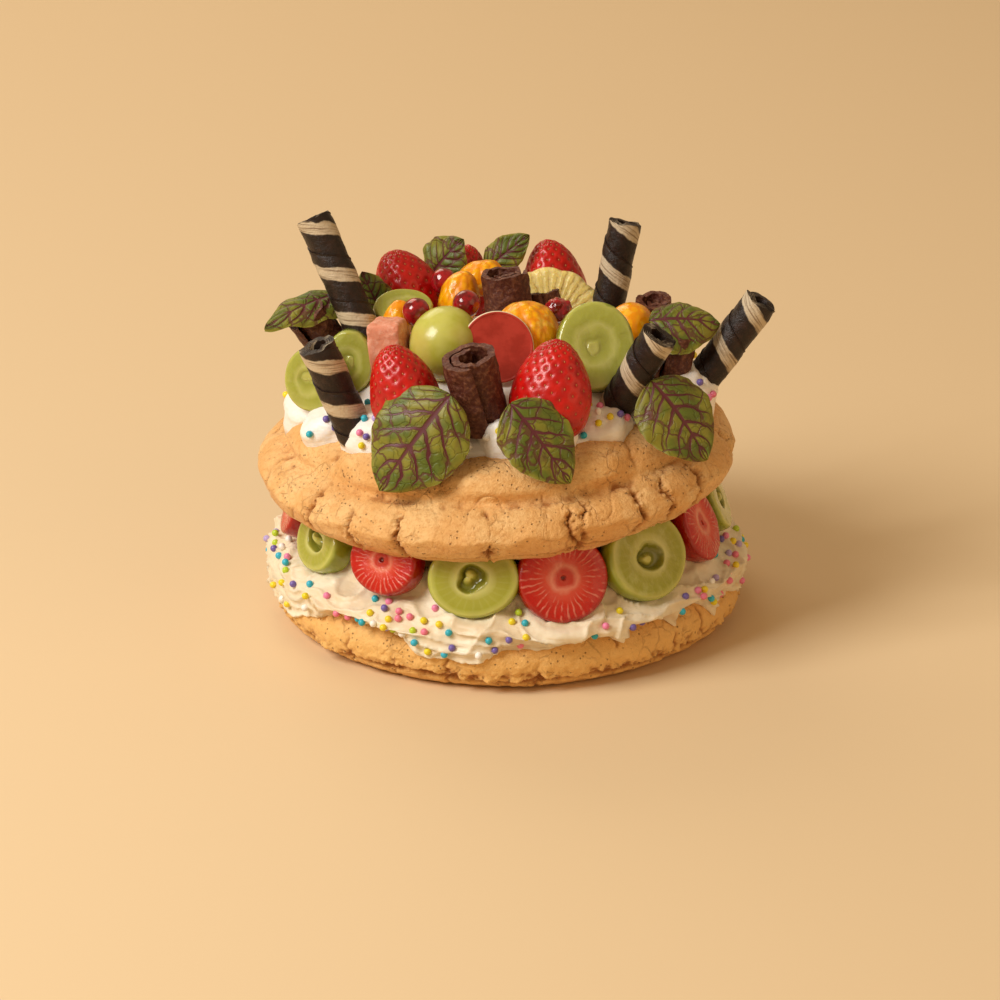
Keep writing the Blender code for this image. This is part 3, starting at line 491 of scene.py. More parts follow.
class Kind(Enum):
    """Kinds of shader node: the type, the inputs that are given in turn, the output and the settings."""

    MIX = ("ShaderNodeMix", (0, 6, 7), 2, (("data_type", "RGBA"),))
    SHIFT = ("ShaderNodeMix", (0, 4, 5), 1, (("data_type", "VECTOR"),))
    MULTIPLY = ("ShaderNodeMath", (0, 1), 0, (("operation", "MULTIPLY"),))
    ADD = ("ShaderNodeMath", (0, 1), 0, (("operation", "ADD"),))
    SUBTRACT = ("ShaderNodeMath", (0, 1), 0, (("operation", "SUBTRACT"),))
    MAXIMUM = ("ShaderNodeMath", (0, 1), 0, (("operation", "MAXIMUM"),))
    POWER = ("ShaderNodeMath", (0, 1), 0, (("operation", "POWER"),))
    GREATER = ("ShaderNodeMath", (0, 1), 0, (("operation", "GREATER_THAN"),))
    SINE = ("ShaderNodeMath", (0,), 0, (("operation", "SINE"),))
    FRACT = ("ShaderNodeMath", (0,), 0, (("operation", "FRACT"),))
    ABSOLUTE = ("ShaderNodeMath", (0,), 0, (("operation", "ABSOLUTE"),))
    RANGE = (
        "ShaderNodeMapRange", ("Value", "From Min", "From Max"), 0, (("interpolation_type", "SMOOTHSTEP"),),
    )
    NOISE = ("ShaderNodeTexNoise", ("Vector", "Scale", "Detail", "Roughness"), 0, ())
    NOISE_VECTOR = ("ShaderNodeTexNoise", ("Vector", "Scale"), 1, ())
    CELLS = ("ShaderNodeTexVoronoi", ("Vector", "Scale"), 0, ())
    SOFT_CELLS = ("ShaderNodeTexVoronoi", ("Vector", "Scale", "Smoothness"), 0, (("feature", "SMOOTH_F1"),))
    CELL_EDGES = ("ShaderNodeTexVoronoi", ("Vector", "Scale"), 0, (("feature", "DISTANCE_TO_EDGE"),))
    STRETCH = ("ShaderNodeMapping", ("Vector", "Scale"), 0, ())
    X = ("ShaderNodeSeparateXYZ", (0,), "X", ())
    Y = ("ShaderNodeSeparateXYZ", (0,), "Y", ())
    Z = ("ShaderNodeSeparateXYZ", (0,), "Z", ())
    PLACE = ("ShaderNodeTexCoord", (), "Object", ())
    PATTERN = ("ShaderNodeTexCoord", (), "UV", ())
    TINT = ("ShaderNodeAttribute", (), "Fac", (("attribute_name", "tint"),))
    RAMP = ("ShaderNodeValToRGB", (0,), 0, ())
    BUMP = ("ShaderNodeBump", ("Height", "Distance"), 0, ())


class Recipe:
    """A material's node tree while it is put together."""

    def __init__(self, name: str) -> None:
        """Starts a material.

        Args:
            name: Its name.
        """
        self.material = bpy.data.materials.new(name)
        self.material.use_nodes = True
        self.tree = self.material.node_tree
        self.shader = self.tree.nodes["Principled BSDF"]
        self.place = self.add(Kind.PLACE)
        self.pattern = self.add(Kind.PATTERN)

    def add(self, kind: Kind, *values: Value, stops: tuple[tuple[float, str], ...] = ()) -> Socket:
        """Adds a node with its settings and links.

        Args:
            kind: What the node is, which also says its inputs, its output and its settings.
            values: A value, a hex colour or another node's output for each of the kind's inputs.
            stops: Places and hex colours, where the node is a colour ramp.

        Returns:
            The wanted output.
        """
        type_name, keys, out, settings = kind.value
        node = self.tree.nodes.new(type_name)
        for key, value in settings:
            setattr(node, key, value)
        for index, (place, code) in enumerate(stops):
            elements = node.color_ramp.elements
            element = elements[index] if index < 2 else elements.new(place)
            element.position = place
            element.color = linear(code)
        self.feed(node, dict(zip(keys, values)))
        return node.outputs[out]

    def patches(self, size_mm: float, low: float, high: float, detail: float = 3.0) -> Socket:
        """Soft patches of a real size: noise, stepped smoothly from 0 at low to 1 at high.

        Args:
            size_mm: Size of the patches.
            low: Noise at which a patch starts.
            high: Noise at which it is full.
            detail: Octaves of the noise.

        Returns:
            How much each place lies in a patch.
        """
        noise = self.add(Kind.NOISE, self.place, per_metre(size_mm), detail, 0.55)
        return self.add(Kind.RANGE, noise, low, high)

    def feed(self, node: bpy.types.Node, inputs: dict[str | int, Value]) -> None:
        """Sets or links a node's inputs.

        Args:
            node: The node.
            inputs: A value, a hex colour or another node's output for each input.
        """
        for key, value in inputs.items():
            if isinstance(value, bpy.types.NodeSocket):
                self.tree.links.new(value, node.inputs[key])
            elif isinstance(value, str):
                node.inputs[key].default_value = linear(value)
            else:
                node.inputs[key].default_value = value


@dataclass(frozen=True)
class Finish:
    """What every finish has: a name and the numbers that are the same all over it."""

    name: str = "finish"
    roughness: float = 0.5
    ior: float = 1.45
    subsurface: float = 0.0
    scatter_mm: Point = (1.0, 0.5, 0.25)
    coat: float = 0.0
    coat_roughness: float = 0.1
    sheen: float = 0.0
    bump_mm: float = 0.2

    def paint(self, recipe: Recipe) -> tuple[Socket, Socket | None]:
        """Lays the colour and the fine relief.

        Args:
            recipe: The material being made.

        Returns:
            The colour, and the relief's height if there is one.
        """
        raise NotImplementedError

    def make(self) -> bpy.types.Material:
        """The material, made once.

        Returns:
            The material.
        """
        found = bpy.data.materials.get(self.name)
        if found:
            return found
        recipe = Recipe(self.name)
        colour, height = self.paint(recipe)
        inputs: dict[str | int, Value] = {
            "Base Color": colour,
            "Roughness": self.roughness,
            "IOR": self.ior,
            "Subsurface Weight": self.subsurface,
            "Subsurface Radius": self.scatter_mm,
            "Subsurface Scale": METRES,
            "Coat Weight": self.coat,
            "Coat Roughness": self.coat_roughness,
            "Sheen Weight": self.sheen,
        }
        if height is not None:
            inputs["Normal"] = recipe.add(Kind.BUMP, height, self.bump_mm * METRES)
        recipe.feed(recipe.shader, inputs)
        return recipe.material


@dataclass(frozen=True)
class BakedChoux(Finish):
    """Oven-baked choux crust: a dry golden skin with painted shade in its hollows, a lighter tone at the very
    bottom, and fine pores.
    """

    name: str = "baked choux crust"
    roughness: float = 0.6
    bump_mm: float = 0.75
    sheen: float = 0.08
    golden: str = "#e6ae68"
    pale: str = "#f0c180"
    brown: str = "#cf8f4a"
    # Colour of the painted shade in the crust's hollows
    torn_shaded: str = "#aa6a2a"
    pore: str = "#8d5418"
    low: str = "#efbb6c"

    def paint(self, recipe: Recipe) -> tuple[Socket, Socket | None]:
        """Broad toasted patches, a fine speckle, hairline crackle, dark pores and painted shade in the
        hollows.

        Args:
            recipe: The material being made.

        Returns:
            The colour and the height of the relief.
        """
        add = recipe.add
        skin = add(Kind.MIX, recipe.patches(15, 0.38, 0.62, 4.0), self.golden, self.pale)
        speckle = add(Kind.NOISE, recipe.place, per_metre(1.6), 4.0, 0.7)
        share = add(Kind.MULTIPLY, add(Kind.RANGE, speckle, 0.46, 0.66), 0.5)
        skin = add(Kind.MIX, share, skin, self.brown)
        sway = add(Kind.NOISE_VECTOR, recipe.place, per_metre(4))
        bent = add(Kind.SHIFT, 0.003, recipe.place, sway)
        edges = add(Kind.CELL_EDGES, bent, per_metre(6.5))
        chance = add(Kind.NOISE, recipe.place, per_metre(11), 2.0, 0.5)
        crackle = add(Kind.RANGE, edges, 0.07, 0.0)
        crackle = add(Kind.MULTIPLY, crackle, add(Kind.RANGE, chance, 0.48, 0.64))
        spots = add(Kind.CELLS, recipe.place, per_metre(1.9))
        pores = add(Kind.RANGE, spots, 0.24, 0.1)
        pores = add(Kind.MULTIPLY, pores, recipe.patches(6, 0.48, 0.58, 2.0))
        height = add(Kind.Z, recipe.place)
        skin = add(Kind.MIX, add(Kind.RANGE, height, 0.03, 0.008), skin, self.low)
        # Painted shade: the tint, high in the cracks, grooves, torn pits and under the band's ridge, mixes in
        # a darker brown
        skin = add(Kind.MIX, add(Kind.RANGE, add(Kind.TINT), 0.1, 1.0), skin, self.torn_shaded)
        crackle = add(Kind.MULTIPLY, crackle, 0.36)
        marks = add(Kind.MAXIMUM, crackle, add(Kind.MULTIPLY, pores, 0.8))
        skin = add(Kind.MIX, add(Kind.MULTIPLY, marks, 0.8), skin, self.pore)
        return skin, add(Kind.SUBTRACT, speckle, marks)


@dataclass(frozen=True)
class WhippedCream(Finish):
    """Whipped cream, spread or spooned: a soft satin white that light sinks into, with faint tool marks."""

    name: str = "whipped cream"
    roughness: float = 0.38
    subsurface: float = 0.2
    scatter_mm: Point = (1.6, 1.4, 1.2)
    bump_mm: float = 0.3
    white: str = "#fbf6f2"
    shade: str = "#f4ece2"

    def paint(self, recipe: Recipe) -> tuple[Socket, Socket | None]:
        """A slow drift between two creams, with fine streaks.

        Args:
            recipe: The material being made.

        Returns:
            The colour and the height of the relief.
        """
        stretch = recipe.add(Kind.STRETCH, recipe.place, (1.0, 1.0, 3.5))
        marks = recipe.add(Kind.NOISE, stretch, per_metre(4), 4.0, 0.6)
        return recipe.add(Kind.MIX, recipe.patches(14, 0.35, 0.65), self.white, self.shade), marks


@dataclass(frozen=True)
class StrawberrySkin(Finish):
    """Ripe strawberry skin: glossy deep red, wet, with yellow seeds in dimples."""

    name: str = "strawberry skin"
    roughness: float = 0.34
    subsurface: float = 0.06
    scatter_mm: Point = (2.0, 0.4, 0.2)
    coat: float = 0.2
    coat_roughness: float = 0.12
    bump_mm: float = 0.12
    red: str = "#b0080a"
    deep: str = "#820507"
    bright: str = "#c81208"
    seed: str = "#ba682e"

    def paint(self, recipe: Recipe) -> tuple[Socket, Socket | None]:
        """Red that drifts between deep and bright, with painted shade in the dimples and seeds by the tint.

        Args:
            recipe: The material being made.

        Returns:
            The colour and the height of the relief.
        """
        add = recipe.add
        skin = add(Kind.MIX, recipe.patches(9, 0.35, 0.65), self.red, self.bright)
        tint = add(Kind.TINT)
        # Painted shade: the dimples' tint darkens the red
        skin = add(Kind.MIX, add(Kind.RANGE, tint, 0.05, 0.45), skin, self.deep)
        skin = add(Kind.MIX, add(Kind.GREATER, tint, 0.9), skin, self.seed)
        return skin, add(Kind.NOISE, recipe.place, per_metre(0.9), 2.0, 0.55)


@dataclass(frozen=True)
class CutFlesh(Finish):
    """Wet cut fruit: rings of colour round its heart, crossed by pale rays that fade at both ends."""

    bump_mm: float = 0.3
    rays: float = 34.0
    ray_share: float = 0.48
    ray_low: float = 0.3
    fade_in: tuple[float, float] = (0.3, 0.5)
    fade_out: tuple[float, float] = (0.82, 0.74)
    bend_mm: float = 5.0
    bend: float = 0.17
    sway_mm: float = 6.0
    sway: float = 7.0
    grain_mm: float = 1.4
    coarse: bool = True
    pale: str = "#eea08a"
    stops: tuple[tuple[float, str], ...] = ()

    def paint(self, recipe: Recipe) -> tuple[Socket, Socket | None]:
        """Rings by distance from the heart and rays round it, broken up and proud where the flesh is coarse.

        Args:
            recipe: The material being made.

        Returns:
            The colour and the height of the relief.
        """
        add = recipe.add
        turn, away = add(Kind.X, recipe.pattern), add(Kind.Y, recipe.pattern)
        noise = add(Kind.NOISE, recipe.place, per_metre(self.bend_mm), 2.0, 0.55)
        bend = add(Kind.MULTIPLY, add(Kind.SUBTRACT, noise, 0.5), self.bend)
        away = add(Kind.ADD, away, bend)
        rings = add(Kind.RAMP, away, stops=self.stops)
        noise = add(Kind.NOISE, recipe.place, per_metre(self.sway_mm), 2.0, 0.55)
        turn = add(Kind.MULTIPLY, turn, self.rays * TURN)
        turn = add(Kind.ADD, turn, add(Kind.MULTIPLY, noise, self.sway))
        ray = add(Kind.RANGE, add(Kind.SINE, turn), self.ray_low, 1.0)
        fade = add(Kind.RANGE, away, *self.fade_in)
        fade = add(Kind.MULTIPLY, fade, add(Kind.RANGE, away, *self.fade_out))
        if self.coarse:
            fade = add(Kind.MULTIPLY, fade, recipe.patches(3.5, 0.38, 0.6, 2.0))
        ray = add(Kind.MULTIPLY, add(Kind.MULTIPLY, ray, fade), self.ray_share)
        grain = add(Kind.NOISE, recipe.place, per_metre(self.grain_mm), 3.0, 0.55)
        height = add(Kind.ADD, grain, ray) if self.coarse else grain
        return add(Kind.MIX, ray, rings, self.pale), height


@dataclass(frozen=True)
class CutStrawberry(CutFlesh):
    """A strawberry cut across: wet flesh with a red rim, pale rays and a pale ring round the heart, whose
    sunk hollow is painted dark as shade.
    """

    name: str = "cut strawberry flesh"
    roughness: float = 0.22
    subsurface: float = 0.2
    scatter_mm: Point = (2.5, 0.8, 0.5)
    coat: float = 0.45
    # The darkest stops at the heart are painted shade in its sunk hollow
    stops: tuple[tuple[float, str], ...] = (
        (0.0, "#5c0b0a"), (0.035, "#8a1a14"), (0.065, "#be3a28"), (0.15, "#c43524"), (0.24, "#df846c"),
        (0.33, "#d24c36"), (0.5, "#c5240f"), (0.72, "#ba1206"), (0.84, "#a00a04"), (1.0, "#a60c06"),
    )


@dataclass(frozen=True)
class GrapeSkin(Finish):
    """Green grape skin: thin, waxy and see-through to the flesh, so it glows yellow-green and shines."""

    name: str = "grape skin"
    roughness: float = 0.25
    subsurface: float = 0.45
    scatter_mm: Point = (3.5, 3.0, 0.8)
    coat: float = 0.15
    coat_roughness: float = 0.12
    bump_mm: float = 0.08
    flesh: str = "#c8c562"
    green: str = "#b3b23e"
    amber: str = "#c9b05a"

    def paint(self, recipe: Recipe) -> tuple[Socket, Socket | None]:
        """Yellow-green that drifts to amber, with a fine grain.

        Args:
            recipe: The material being made.

        Returns:
            The colour and the height of the relief.
        """
        skin = recipe.add(Kind.MIX, recipe.patches(13, 0.35, 0.65), self.green, self.flesh)
        warm = recipe.add(Kind.MULTIPLY, recipe.patches(21, 0.5, 0.7, 2.0), 0.6)
        grain = recipe.add(Kind.NOISE, recipe.place, per_metre(2.2), 3.0, 0.55)
        return recipe.add(Kind.MIX, warm, skin, self.amber), grain


@dataclass(frozen=True)
class CutGrape(CutFlesh):
    """A grape cut in half: wet, clear flesh with a skin rim, faint rays and a hollow round the core."""

    name: str = "cut grape flesh"
    roughness: float = 0.14
    subsurface: float = 0.5
    scatter_mm: Point = (3.5, 3.0, 0.9)
    coat: float = 0.5
    coat_roughness: float = 0.05
    rays: float = 26.0
    ray_share: float = 0.09
    ray_low: float = 0.2
    fade_in: tuple[float, float] = (0.34, 0.5)
    fade_out: tuple[float, float] = (0.8, 0.6)
    bend_mm: float = 6.0
    bend: float = 0.06
    sway_mm: float = 8.0
    sway: float = 6.0
    grain_mm: float = 3.0
    coarse: bool = False
    pale: str = "#c9c77e"
    stops: tuple[tuple[float, str], ...] = (
        (0.0, "#c2c06e"), (0.1, "#b7b55a"), (0.15, "#8b8b32"), (0.22, "#74751f"), (0.29, "#8f9036"),
        (0.33, "#c6c579"), (0.45, "#a8a744"), (0.66, "#a3a43c"), (0.77, "#bdbd64"), (0.835, "#8f9a2a"),
        (1.0, "#9ba534"),
    )


@dataclass(frozen=True)
class SolidGrape(CutGrape):
    """A grape cut clear of its hollow: the same wet flesh, with a pale core in soft rings."""

    name: str = "solid grape flesh"
    ray_share: float = 0.04
    bend: float = 0.2
    stops: tuple[tuple[float, str], ...] = (
        (0.0, "#b3b05c"), (0.1, "#b5b25e"), (0.19, "#999a3e"), (0.3, "#a9a94e"), (0.4, "#b9b765"),
        (0.52, "#a1a242"), (0.7, "#a7a84a"), (0.79, "#b5b55c"), (0.84, "#7f892a"), (1.0, "#959b34"),
    )


@dataclass(frozen=True)
class CitrusFlesh(Finish):
    """Peeled mandarin: orange juice sacs under a thin skin, wet and glowing, with white threads."""

    name: str = "mandarin flesh"
    roughness: float = 0.34
    subsurface: float = 0.3
    scatter_mm: Point = (3.0, 1.4, 0.3)
    coat: float = 0.25
    coat_roughness: float = 0.06
    bump_mm: float = 0.9
    orange: str = "#f8b000"
    deep: str = "#ec9400"
    thread: str = "#f9cc50"

    def paint(self, recipe: Recipe) -> tuple[Socket, Socket | None]:
        """Long juice sacs as stretched cells, deeper between them, with pale threads.

        Args:
            recipe: The material being made.

        Returns:
            The colour and the height of the relief.
        """
        add = recipe.add
        stretch = add(Kind.STRETCH, recipe.place, (1.0, 1.0, 0.45))
        sacs = add(Kind.SOFT_CELLS, stretch, per_metre(2.8), 0.4)
        flesh = add(Kind.MIX, add(Kind.RANGE, sacs, 0.3, 0.6), self.orange, self.deep)
        threads = add(Kind.NOISE, recipe.place, per_metre(6), 4.0, 0.6)
        threads = add(Kind.MULTIPLY, add(Kind.RANGE, threads, 0.58, 0.68), 0.7)
        return add(Kind.MIX, threads, flesh, self.thread), add(Kind.SUBTRACT, 1.0, sacs)


@dataclass(frozen=True)
class ApricotBall(CitrusFlesh):
    """A ball scooped from ripe mango: smooth, juicy and bright orange-yellow, with faint fibres."""

    name: str = "scooped mango flesh"
    roughness: float = 0.24
    bump_mm: float = 0.12
    orange: str = "#f8aa00"
    deep: str = "#f09600"
    thread: str = "#fac440"


@dataclass(frozen=True)
class RedLeaf(Finish):
    """A fresh beet leaf: satin green blade with dark red ribs and a net of fine veins."""

    name: str = "red veined leaf"
    roughness: float = 0.5
    subsurface: float = 0.08
    scatter_mm: Point = (0.6, 0.9, 0.2)
    coat: float = 0.04
    bump_mm: float = 0.35
    ribs: float = 6.0
    green: str = "#596618"
    light: str = "#837f26"
    net: str = "#464d12"
    red: str = "#5a1528"
    stain: str = "#66462a"

    def paint(self, recipe: Recipe) -> tuple[Socket, Socket | None]:
        """A midrib, side ribs that curve up to the edge and fade, and a weak net between them.

        Args:
            recipe: The material being made.

        Returns:
            The colour and the height of the relief.
        """
        add = recipe.add
        across = add(Kind.SUBTRACT, add(Kind.X, recipe.pattern), 0.5)
        across = add(Kind.MULTIPLY, add(Kind.ABSOLUTE, across), 2.0)
        along = add(Kind.Y, recipe.pattern)
        middle = add(Kind.ADD, across, add(Kind.MULTIPLY, along, 0.045))
        middle = add(Kind.RANGE, middle, 0.085, 0.05)
        noise = add(Kind.NOISE, recipe.place, per_metre(8), 2.0, 0.55)
        swept = add(Kind.MULTIPLY, add(Kind.POWER, across, 1.15), 0.34)
        rows = add(Kind.MULTIPLY, add(Kind.SUBTRACT, along, swept), self.ribs)
        rows = add(Kind.ADD, rows, add(Kind.MULTIPLY, noise, 0.7))
        away = add(Kind.ABSOLUTE, add(Kind.SUBTRACT, add(Kind.FRACT, rows), 0.5))
        width = add(Kind.SUBTRACT, 0.1, add(Kind.MULTIPLY, across, 0.085))
        side = add(Kind.RANGE, add(Kind.SUBTRACT, away, width), 0.03, -0.01)
        side = add(Kind.MULTIPLY, side, add(Kind.RANGE, across, 0.98, 0.7))
        sway = add(Kind.NOISE_VECTOR, recipe.place, per_metre(6))
        bent = add(Kind.SHIFT, 0.006, recipe.place, sway)
        net = add(Kind.RANGE, add(Kind.CELL_EDGES, bent, per_metre(5.5)), 0.07, 0.02)
        fork = add(Kind.RANGE, add(Kind.CELL_EDGES, bent, per_metre(11)), 0.045, 0.015)
        blade = add(Kind.MIX, recipe.patches(11, 0.4, 0.6), self.green, self.light)
        blade = add(Kind.MIX, add(Kind.RANGE, across, 0.75, 1.0), blade, self.light)
        blade = add(Kind.MIX, add(Kind.RANGE, noise, 0.6, 0.8), blade, self.stain)
        blade = add(Kind.MIX, add(Kind.MULTIPLY, net, 0.26), blade, self.net)
        halo = add(Kind.RANGE, add(Kind.SUBTRACT, away, width), 0.2, 0.0)
        halo = add(Kind.MULTIPLY, halo, add(Kind.RANGE, across, 0.95, 0.3))
        blade = add(Kind.MIX, add(Kind.MULTIPLY, halo, 0.45), blade, self.stain)
        ribs = add(Kind.MAXIMUM, middle, side)
        ribs = add(Kind.MAXIMUM, ribs, add(Kind.MULTIPLY, fork, 0.75))
        blade = add(Kind.MIX, add(Kind.MULTIPLY, ribs, 0.93), blade, self.red)
        relief = add(Kind.MAXIMUM, ribs, add(Kind.MULTIPLY, net, 0.5))
        return blade, add(Kind.SUBTRACT, 1.0, relief)


@dataclass(frozen=True)
class CocoaWafer(Finish):
    """A rolled cocoa wafer: near-black, brittle and satin, with a pale batter line wound round it."""

    name: str = "cocoa wafer roll"
    roughness: float = 0.42
    bump_mm: float = 0.35
    cocoa: str = "#1f110a"
    brown: str = "#301c13"
    stripe: str = "#d0bea0"
    streak: str = "#917a60"
    width: float = 0.145

    def paint(self, recipe: Recipe) -> tuple[Socket, Socket | None]:
        """One pale line in each turn of the winding, counted by the pattern's X, with brown streaks.

        Args:
            recipe: The material being made.

        Returns:
            The colour and the height of the relief.
        """
        add = recipe.add
        sway = add(Kind.MULTIPLY, add(Kind.NOISE, recipe.place, per_metre(7), 3.0, 0.55), 0.16)
        turns = add(Kind.ADD, add(Kind.X, recipe.pattern), sway)
        away = add(Kind.SUBTRACT, add(Kind.FRACT, turns), 0.5)
        line = add(Kind.RANGE, add(Kind.ABSOLUTE, away), self.width + 0.02, self.width - 0.02)
        stretch = add(Kind.STRETCH, recipe.pattern, (26.0, 1.6, 1.0))
        streaks = add(Kind.NOISE, stretch, 1.0, 3.0, 0.6)
        pale = add(Kind.MIX, add(Kind.RANGE, streaks, 0.47, 0.66), self.stripe, self.streak)
        wafer = add(Kind.MIX, recipe.patches(2.5, 0.45, 0.68, 4.0), self.cocoa, self.brown)
        pits = add(Kind.NOISE, recipe.place, per_metre(0.9), 4.0, 0.65)
        return add(Kind.MIX, add(Kind.MULTIPLY, line, 0.95), wafer, pale), pits


@dataclass(frozen=True)
class Crumb(Finish):
    """Open crumb all through: a dull face that is lighter where it stands proud."""

    grain_mm: float = 2.0
    low: float = 0.42
    high: float = 0.7
    dark: str = "#502012"
    light: str = "#86553c"

    def paint(self, recipe: Recipe) -> tuple[Socket, Socket | None]:
        """Grain that runs from dark in its pits to light on its crests.

        Args:
            recipe: The material being made.

        Returns:
            The colour and the height of the relief.
        """
        crumbs = recipe.add(Kind.NOISE, recipe.place, per_metre(self.grain_mm), 5.0, 0.65)
        shade = recipe.add(Kind.RANGE, crumbs, self.low, self.high)
        return recipe.add(Kind.MIX, shade, self.dark, self.light), crumbs


@dataclass(frozen=True)
class ChocolateCurl(Crumb):
    """Milk chocolate shaved into a curl: dull, grainy and crumbly, with a faint cocoa butter sheen."""

    name: str = "shaved chocolate"
    bump_mm: float = 0.8
    grain_mm: float = 1.7
    high: float = 0.75


@dataclass(frozen=True)
class SugarPearl(Finish):
    """Sugar pearls: hard, smooth and opaque, each in one colour, with a soft polish."""

    name: str = "sugar pearls"
    roughness: float = 0.3
    ior: float = 1.5
    bump_mm: float = 0.03
    colours: tuple[str, ...] = (
        "#ead822", "#ee86b0", "#b9a6dc", "#7463ae", "#36b6d4", "#bcd634", "#f0d830", "#ee7f9c", "#2fb0c6",
        "#f8f4ee",
    )

    def paint(self, recipe: Recipe) -> tuple[Socket, Socket | None]:
        """The tint picks the colour.

        Args:
            recipe: The material being made.

        Returns:
            The colour and the height of the relief.
        """
        tint = recipe.add(Kind.TINT)
        stops = tuple((index / len(self.colours), code) for index, code in enumerate(self.colours))
        node = recipe.add(Kind.RAMP, tint, stops=stops)
        node.node.color_ramp.interpolation = "CONSTANT"
        return node, recipe.add(Kind.NOISE, recipe.place, per_metre(0.8), 1.0, 0.55)


@dataclass(frozen=True)
class PinkSugar(Crumb):
    """A block of pressed pink marshmallow: matt and powdery, with open crumb on its faces."""

    name: str = "pink marshmallow"
    roughness: float = 0.7
    subsurface: float = 0.2
    scatter_mm: Point = (1.6, 0.7, 0.5)
    bump_mm: float = 0.5
    grain_mm: float = 2.4
    high: float = 0.68
    dark: str = "#d98b6c"
    light: str = "#e8ab90"


@dataclass(frozen=True)
class CoatedDisc(Finish):
    """A moulded chocolate disc coated red, with a cream-coloured rim: smooth with a satin shine."""

    name: str = "red coated chocolate"
    roughness: float = 0.34
    coat: float = 0.25
    bump_mm: float = 0.08
    red: str = "#bd3a2c"
    deep: str = "#a82c1e"
    cream: str = "#ead9b6"

    def paint(self, recipe: Recipe) -> tuple[Socket, Socket | None]:
        """Red that drifts slightly, with the rim by the tint.

        Args:
            recipe: The material being made.

        Returns:
            The colour and the height of the relief.
        """
        add = recipe.add
        body = add(Kind.MIX, recipe.patches(7, 0.4, 0.62), self.red, self.deep)
        rim = add(Kind.RANGE, add(Kind.TINT), 0.4, 0.6)
        grain = add(Kind.NOISE, recipe.place, per_metre(1.5), 3.0, 0.55)
        return add(Kind.MIX, rim, body, self.cream), grain


@dataclass(frozen=True)
class PineappleFlesh(Finish):
    """Ripe pineapple: wet yellow flesh with fibres that run out from the core."""

    name: str = "pineapple flesh"
    roughness: float = 0.3
    subsurface: float = 0.3
    scatter_mm: Point = (2.6, 1.8, 0.5)
    coat: float = 0.3
    bump_mm: float = 0.5
    yellow: str = "#e8d07a"
    pale: str = "#edd98f"
    fibres: float = 22.0

    def paint(self, recipe: Recipe) -> tuple[Socket, Socket | None]:
        """Fibres along the radius, counted by the pattern's Y along the ring.

        Args:
            recipe: The material being made.

        Returns:
            The colour and the height of the relief.
        """
        add = recipe.add
        sway = add(Kind.NOISE, recipe.place, per_metre(5), 3.0, 0.55)
        turn = add(Kind.MULTIPLY, add(Kind.Y, recipe.pattern), self.fibres * TURN)
        wave = add(Kind.SINE, add(Kind.ADD, turn, add(Kind.MULTIPLY, sway, 7.0)))
        fibre = add(Kind.RANGE, wave, -0.7, 0.9)
        grain = add(Kind.NOISE, recipe.place, per_metre(2), 3.0, 0.55)
        height = add(Kind.ADD, add(Kind.MULTIPLY, fibre, 0.4), grain)
        return add(Kind.MIX, fibre, self.yellow, self.pale), height


@dataclass(frozen=True)
class GlossBerry(Finish):
    """A small red currant: tight thin skin, deep red, wet and very shiny."""

    name: str = "red currant skin"
    roughness: float = 0.12
    subsurface: float = 0.2
    scatter_mm: Point = (1.5, 0.2, 0.1)
    coat: float = 0.7
    coat_roughness: float = 0.04
    bump_mm: float = 0.05
    red: str = "#a5101c"
    deep: str = "#6e0710"

    def paint(self, recipe: Recipe) -> tuple[Socket, Socket | None]:
        """Deep red that drifts darker.

        Args:
            recipe: The material being made.

        Returns:
            The colour and the height of the relief.
        """
        grain = recipe.add(Kind.NOISE, recipe.place, per_metre(1), 2.0, 0.55)
        return recipe.add(Kind.MIX, recipe.patches(4, 0.4, 0.62), self.red, self.deep), grain


# The two tiers

# Bearings of the cracks in the band and of the valleys between the lobes
CRACKS = (-97, -75, -51, -38, -24, -2, 18, 21, 36, 46, 57, 80, 103, 127, 149, 172, 195, 217, 239)
VALLEYS = (-95, -53, -15, 19, 41, 76, 110, 148, 180, 214, 240)


def lobe_height(bearings: Array, bulge: float = 4.8, sunk: float = 3.0) -> Array:
    """Relief of the puffed ring: bulge times the root of a half sine over each lobe, less the sunk depth.

    Args:
        bearings: Bearings in degrees.
        bulge: How far a lobe swells.
        sunk: Depth of the valleys.

    Returns:
        The relief.
    """
    valleys = np.array(VALLEYS + (VALLEYS[0] + 360,), dtype=float)
    turned = (np.asarray(bearings) - valleys[0]) % 360 + valleys[0]
    index = np.clip(np.searchsorted(valleys, turned, side="right") - 1, 0, len(valleys) - 2)
    across = (turned - valleys[index]) / (valleys[index + 1] - valleys[index])
    return bulge * np.sqrt(np.sin(np.pi * np.clip(across, 0, 1))) - sunk


def crack_lines(bearings: Array, radius: Array, lines: Array, width: float) -> tuple[Array, Array]:
    """Nearness to the closest crack, and which plate a point lies on.

    Args:
        bearings: Bearings in degrees.
        radius: Distance from the axis, which turns degrees to millimetres.
        lines: Bearing of each crack at each row.
        width: Half width of a crack.

    Returns:
        Shares that are 1 in a crack and fall off as a bell, and the number of the plate.
    """
    gap = np.abs(off_bearing(bearings[None, :, None], lines[:, None, :])).min(axis=2)
    away = gap * radius * np.pi / 180
    ordered = np.sort(lines[0] % 360)
    plate = np.searchsorted(ordered, bearings % 360) % len(ordered)
    return np.exp(-((away / width) ** 2)), np.broadcast_to(plate, away.shape)


